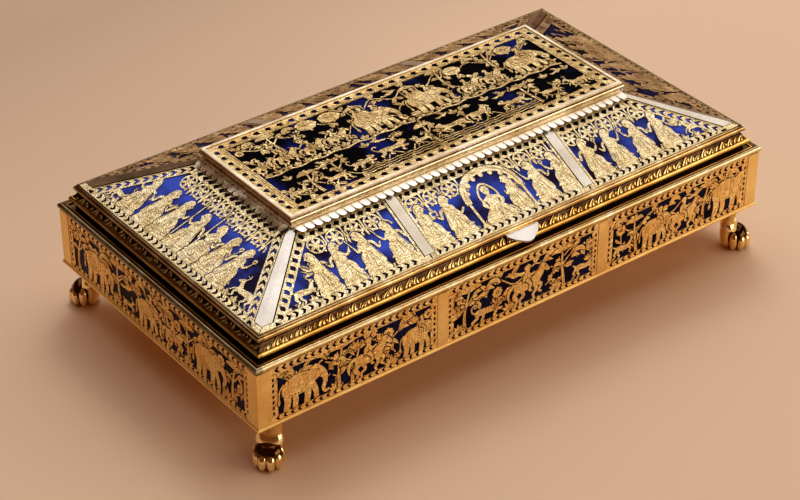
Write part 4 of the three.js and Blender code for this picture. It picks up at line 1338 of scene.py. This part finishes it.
top_length, top_width, top_face = 147.8, 53.2, 69.1
rail, stile = 4.2, 5.2
tufts = [
    (12, 18.6), (34.5, 19.4), (46.5, 20.0), (60.5, 19.0), (72, 20.2),
    (86, 19.2), (101, 19.6), (113, 18.8), (129, 19.0), (139.5, 19.4),
]
top_scene = laid(
    *((sprig(5.6, (-1) ** k), 9.0 + 15.4 * k, 20.6 if k % 2 else 8.4, 0.85) for k in range(9)),
    *((sprig(5.6, (-1) ** k), 12.0 + 17.2 * k, 43.4, 0.85) for k in range(8)),
    (vine(134, 7.0), 7, 6.0), (vine(134, 7.0), 7, 29.6), (vine(134, 6.6, 7.4), 8, 40.2),
    (ripples(82), 36, 5.6), (bank(136), 6, 24.2),
    *((shrub(3.6, 3, 50), x, y) for x, y in tufts),
    (tree(12, 1.0, 4.2), 18.0, 6.0), (tree(12.4, -1.0, 4.2), 31.0, 6.6), (tree(12, 0.8, 4.0), 70.4, 7.0),
    (tree(12.6, -0.8, 4.2), 117.2, 6.4),
    (buck(), 5.6, 6.2, 0.74), (buck(), 31.6, 6.0, 0.78, True), (tiger(), 34.2, 9.4, 0.66),
    (tiger(), 47.2, 10.2, 0.8), (buck(), 62.0, 9.0, 0.6), (tiger(), 87.4, 9.6, 0.8, True),
    (horse(), 88.0, 9.6, 0.66), (tiger(), 114.6, 9.4, 0.72, True), (buck(), 119.6, 6.4, 0.74),
    (buck(), 142.6, 6.2, 0.76, True), (bird(), 104.6, 17.8, 0.8), (bird(), 24.0, 18.0, 0.8),
    (bird(), 54.4, 19.6, 0.7, True), (bird(), 133.0, 18.8, 0.7), (bird(), 79.0, 19.4, 0.7),
    (bush(7.0, 8.6), 37.8, 41.4), (bush(7.0, 9.0), 47.8, 41.2), (spray(6, 2), 10.0, 45.2),
    (tree(13, -0.8, 4.6), 22.0, 33.4), (daisy(), 7.6, 43.4, 0.75), (spray(6, 2.2), 27.4, 45.0),
    (tree(13, 0.8, 4.4), 97.4, 34.0), (bush(6.4, 7.6), 104.2, 40.6), (tree(14, 1.0, 4.6), 120.0, 33.6),
    (bush(6.0, 7.6), 129.4, 41.6), (spray(6, 2), 137.0, 44.6), (spray(6, 2.4), 110.4, 45.2),
    (bird(), 72.6, 43.6, 0.8), (shrub(4.0), 75.0, 26.2), (shrub(4), 99.0, 26.0),
    (horseman(), 5.0, 26.2, 0.68), (horseman(), 14.8, 26.6, 0.72), (horseman(), 26.0, 26.2, 0.7),
    (horseman(), 36.6, 26.6, 0.72), (bust(), 30.0, 38.2, 0.7), (bust(), 18.4, 39.4, 0.7),
    (mounted_elephant(), 50.0, 25.8), (mounted_elephant(), 74.4, 25.8, 0.98),
    (horseman(), 97.6, 26.2, 0.7), (horseman(), 108.4, 26.4, 0.72), (elephant_rider(), 121.0, 25.8, 0.96),
    (daisy(3.4), 139.8, 31.8, 0.7),
)
top_drawing = [
    panel(0, 0, top_length, top_width),
    panel(stile + 0.2, rail + 0.2, top_length - stile - 0.2, top_width - rail - 0.2, kind=GAP),
    *top_scene,
    panel(0, 0, top_length, rail), panel(0, top_width - rail, top_length, top_width),
    panel(0, 0, stile, top_width), panel(top_length - stile, 0, top_length, top_width),
]
for inset in (3.7, 4.6):
    far_u, far_v = top_length - inset, top_width - inset + 0.4
    for v in (inset - 0.4, far_v):
        top_drawing.append(line((inset, v), (far_u, v), wide=0.24))
    for u in (inset, far_u):
        top_drawing.append(line((u, inset), (u, far_v), wide=0.24))
long_leaf = [plate((-1.6, -0.2), (-0.2, 1.15), (1.5, 0.7), (0.9, 0), (1.4, -1.0), (-0.1, -1.1), kind=GAP)]
for k in range(28):
    for v in (1.85, top_width - 1.85):
        top_drawing += moved(long_leaf, stile + (top_length - 2 * stile) * k / 27, v)
short_leaf = [plate((-1.15, 0), (-0.2, 1.15), (1.1, 0.7), (0.6, 0), (1.1, -0.9), (-0.1, -1.2), kind=GAP)]
for k in range(11):
    for u in (1.75, top_length - 1.75):
        top_drawing += moved(short_leaf, u, 4.6 + (top_width - 9.2) * k / 10)
top_corner = Vector((-top_length / 2, -top_width / 2, top_face))
pierced_sheet("top_scene", top_drawing, top_corner, across, inwards, top_gold)


# ---- strips, tongues and frame of the lid ----
# Plain silver-gilt strips cover the joints of the roof. Under the moulded frame of the flat top
# hangs a row of tongues, cut from sheet and bent out over the roof.
bright_silver = gilding("bright_silver", (0.80, 0.79, 0.76), (0.66, 0.64, 0.58), 0.27)
silver_gilt = gilding("silver_gilt", (0.78, 0.75, 0.66), (0.60, 0.55, 0.44), 0.3)
shaded_brown_gilt = gilding("shaded_brown_gilt", (0.42, 0.28, 0.15), (0.25, 0.15, 0.08), 0.3)
frame_gilt = gilding(
    "frame_gilt", (0.84, 0.77, 0.60), (0.55, 0.45, 0.29), 0.22, rubbed=(0.93, 0.91, 0.84),
    skin_depth=0.00016,
)
# The hip strips are lit and shaded copies of one silver-gilt: the front left one is brighter, a painted
# highlight, and the back ones darker, painted shade.
finished(
    silver_gilt,
    *(f"{kind}_{row}_{side}" for kind in ("hip_strip", "divider") for row, side in rows_and_sides),
)
finished(frame_gilt, "top_frame")
finished(dark_gilt, "hip_strip_back_left")
finished(shaded_brown_gilt, "hip_strip_back_right")
finished(bright_silver, "hip_strip_front_left", "thumb_piece")


def tongue(u, v):
    """A bent tongue with a rounded lower edge."""
    drop = 3.2 * (1 - 0.6 * max(0, 0.1 - u) ** 2 - 0.12 * max(0, u) ** 4)
    return u * 1.74, -v * drop, 0.12 * (1 - u * u) + 0.25 * v


tongue_silver = gilding("tongue_silver", (0.97, 0.96, 0.94), (0.82, 0.79, 0.72), 0.26)
# Painted shade: the tongues on the left side get a dark copy, for the shade on them and the dark they
# reflect.
shaded_silver = gilding(
    "shaded_silver", (0.20, 0.14, 0.08), (0.07, 0.04, 0.025), 0.2, rubbed=(0.6, 0.55, 0.44), skin_depth=0.0003,
)
for side, turn in turns.items():
    length, reach = (149.6, 28.75) if side in ("front", "back") else (54.4, 76.05)
    row = row_of(length, 3.4, (6, 4), 0.35, tongue)
    bpy.ops.object.shade_smooth_by_angle(angle=radians(40))
    made(f"tongues_{side}", shaded_silver if side == "left" else tongue_silver, "silver")
    set_on_side(row, turn, reach, 65.5, 20)
    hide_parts(f"cresting_{side}")


# ---- lights ----
# A wide overhead softbox set back behind the casket, a second one low behind it, and a small
# card on the right that picks out the mouldings. The room beyond is a dim warm brown.
def softbox(name, where, towards, size, glow, colour):
    lamp = bpy.data.lights.new(name, "AREA")
    lamp.shape = "RECTANGLE"
    lamp.size, lamp.size_y = size
    lamp.energy, lamp.color = glow * pi * size[0] * size[1], colour
    box = bpy.data.objects.new(name, lamp)
    box.location = where
    box.rotation_euler = (Vector(towards) - Vector(where)).to_track_quat("-Z", "Y").to_euler()
    bpy.context.scene.collection.objects.link(box)


softbox("overhead", (0.6, 0.7, 1.7), (0, 0, 0), (3.2, 3.2), 0.92, (1.0, 0.98, 0.95))
softbox("key", (0.60, 0.77, 1.40), (0, 0, 0), (0.5, 0.5), 4.5, (1.0, 0.97, 0.93))
softbox("panel", (0.95, -1.25, 0.42), (0, 0, 0.05), (1.6, 0.8), 2.4, (1.0, 0.88, 0.70))

scene = bpy.context.scene
scene.world = scene.world or bpy.data.worlds.new("room")
scene.world.use_nodes = True
room = scene.world.node_tree.nodes["Background"].inputs
room["Color"].default_value = (0.41, 0.155, 0.06, 1)
room["Strength"].default_value = 0.3
scene.view_settings.view_transform = "Standard"
scene.view_settings.look = "Medium High Contrast"
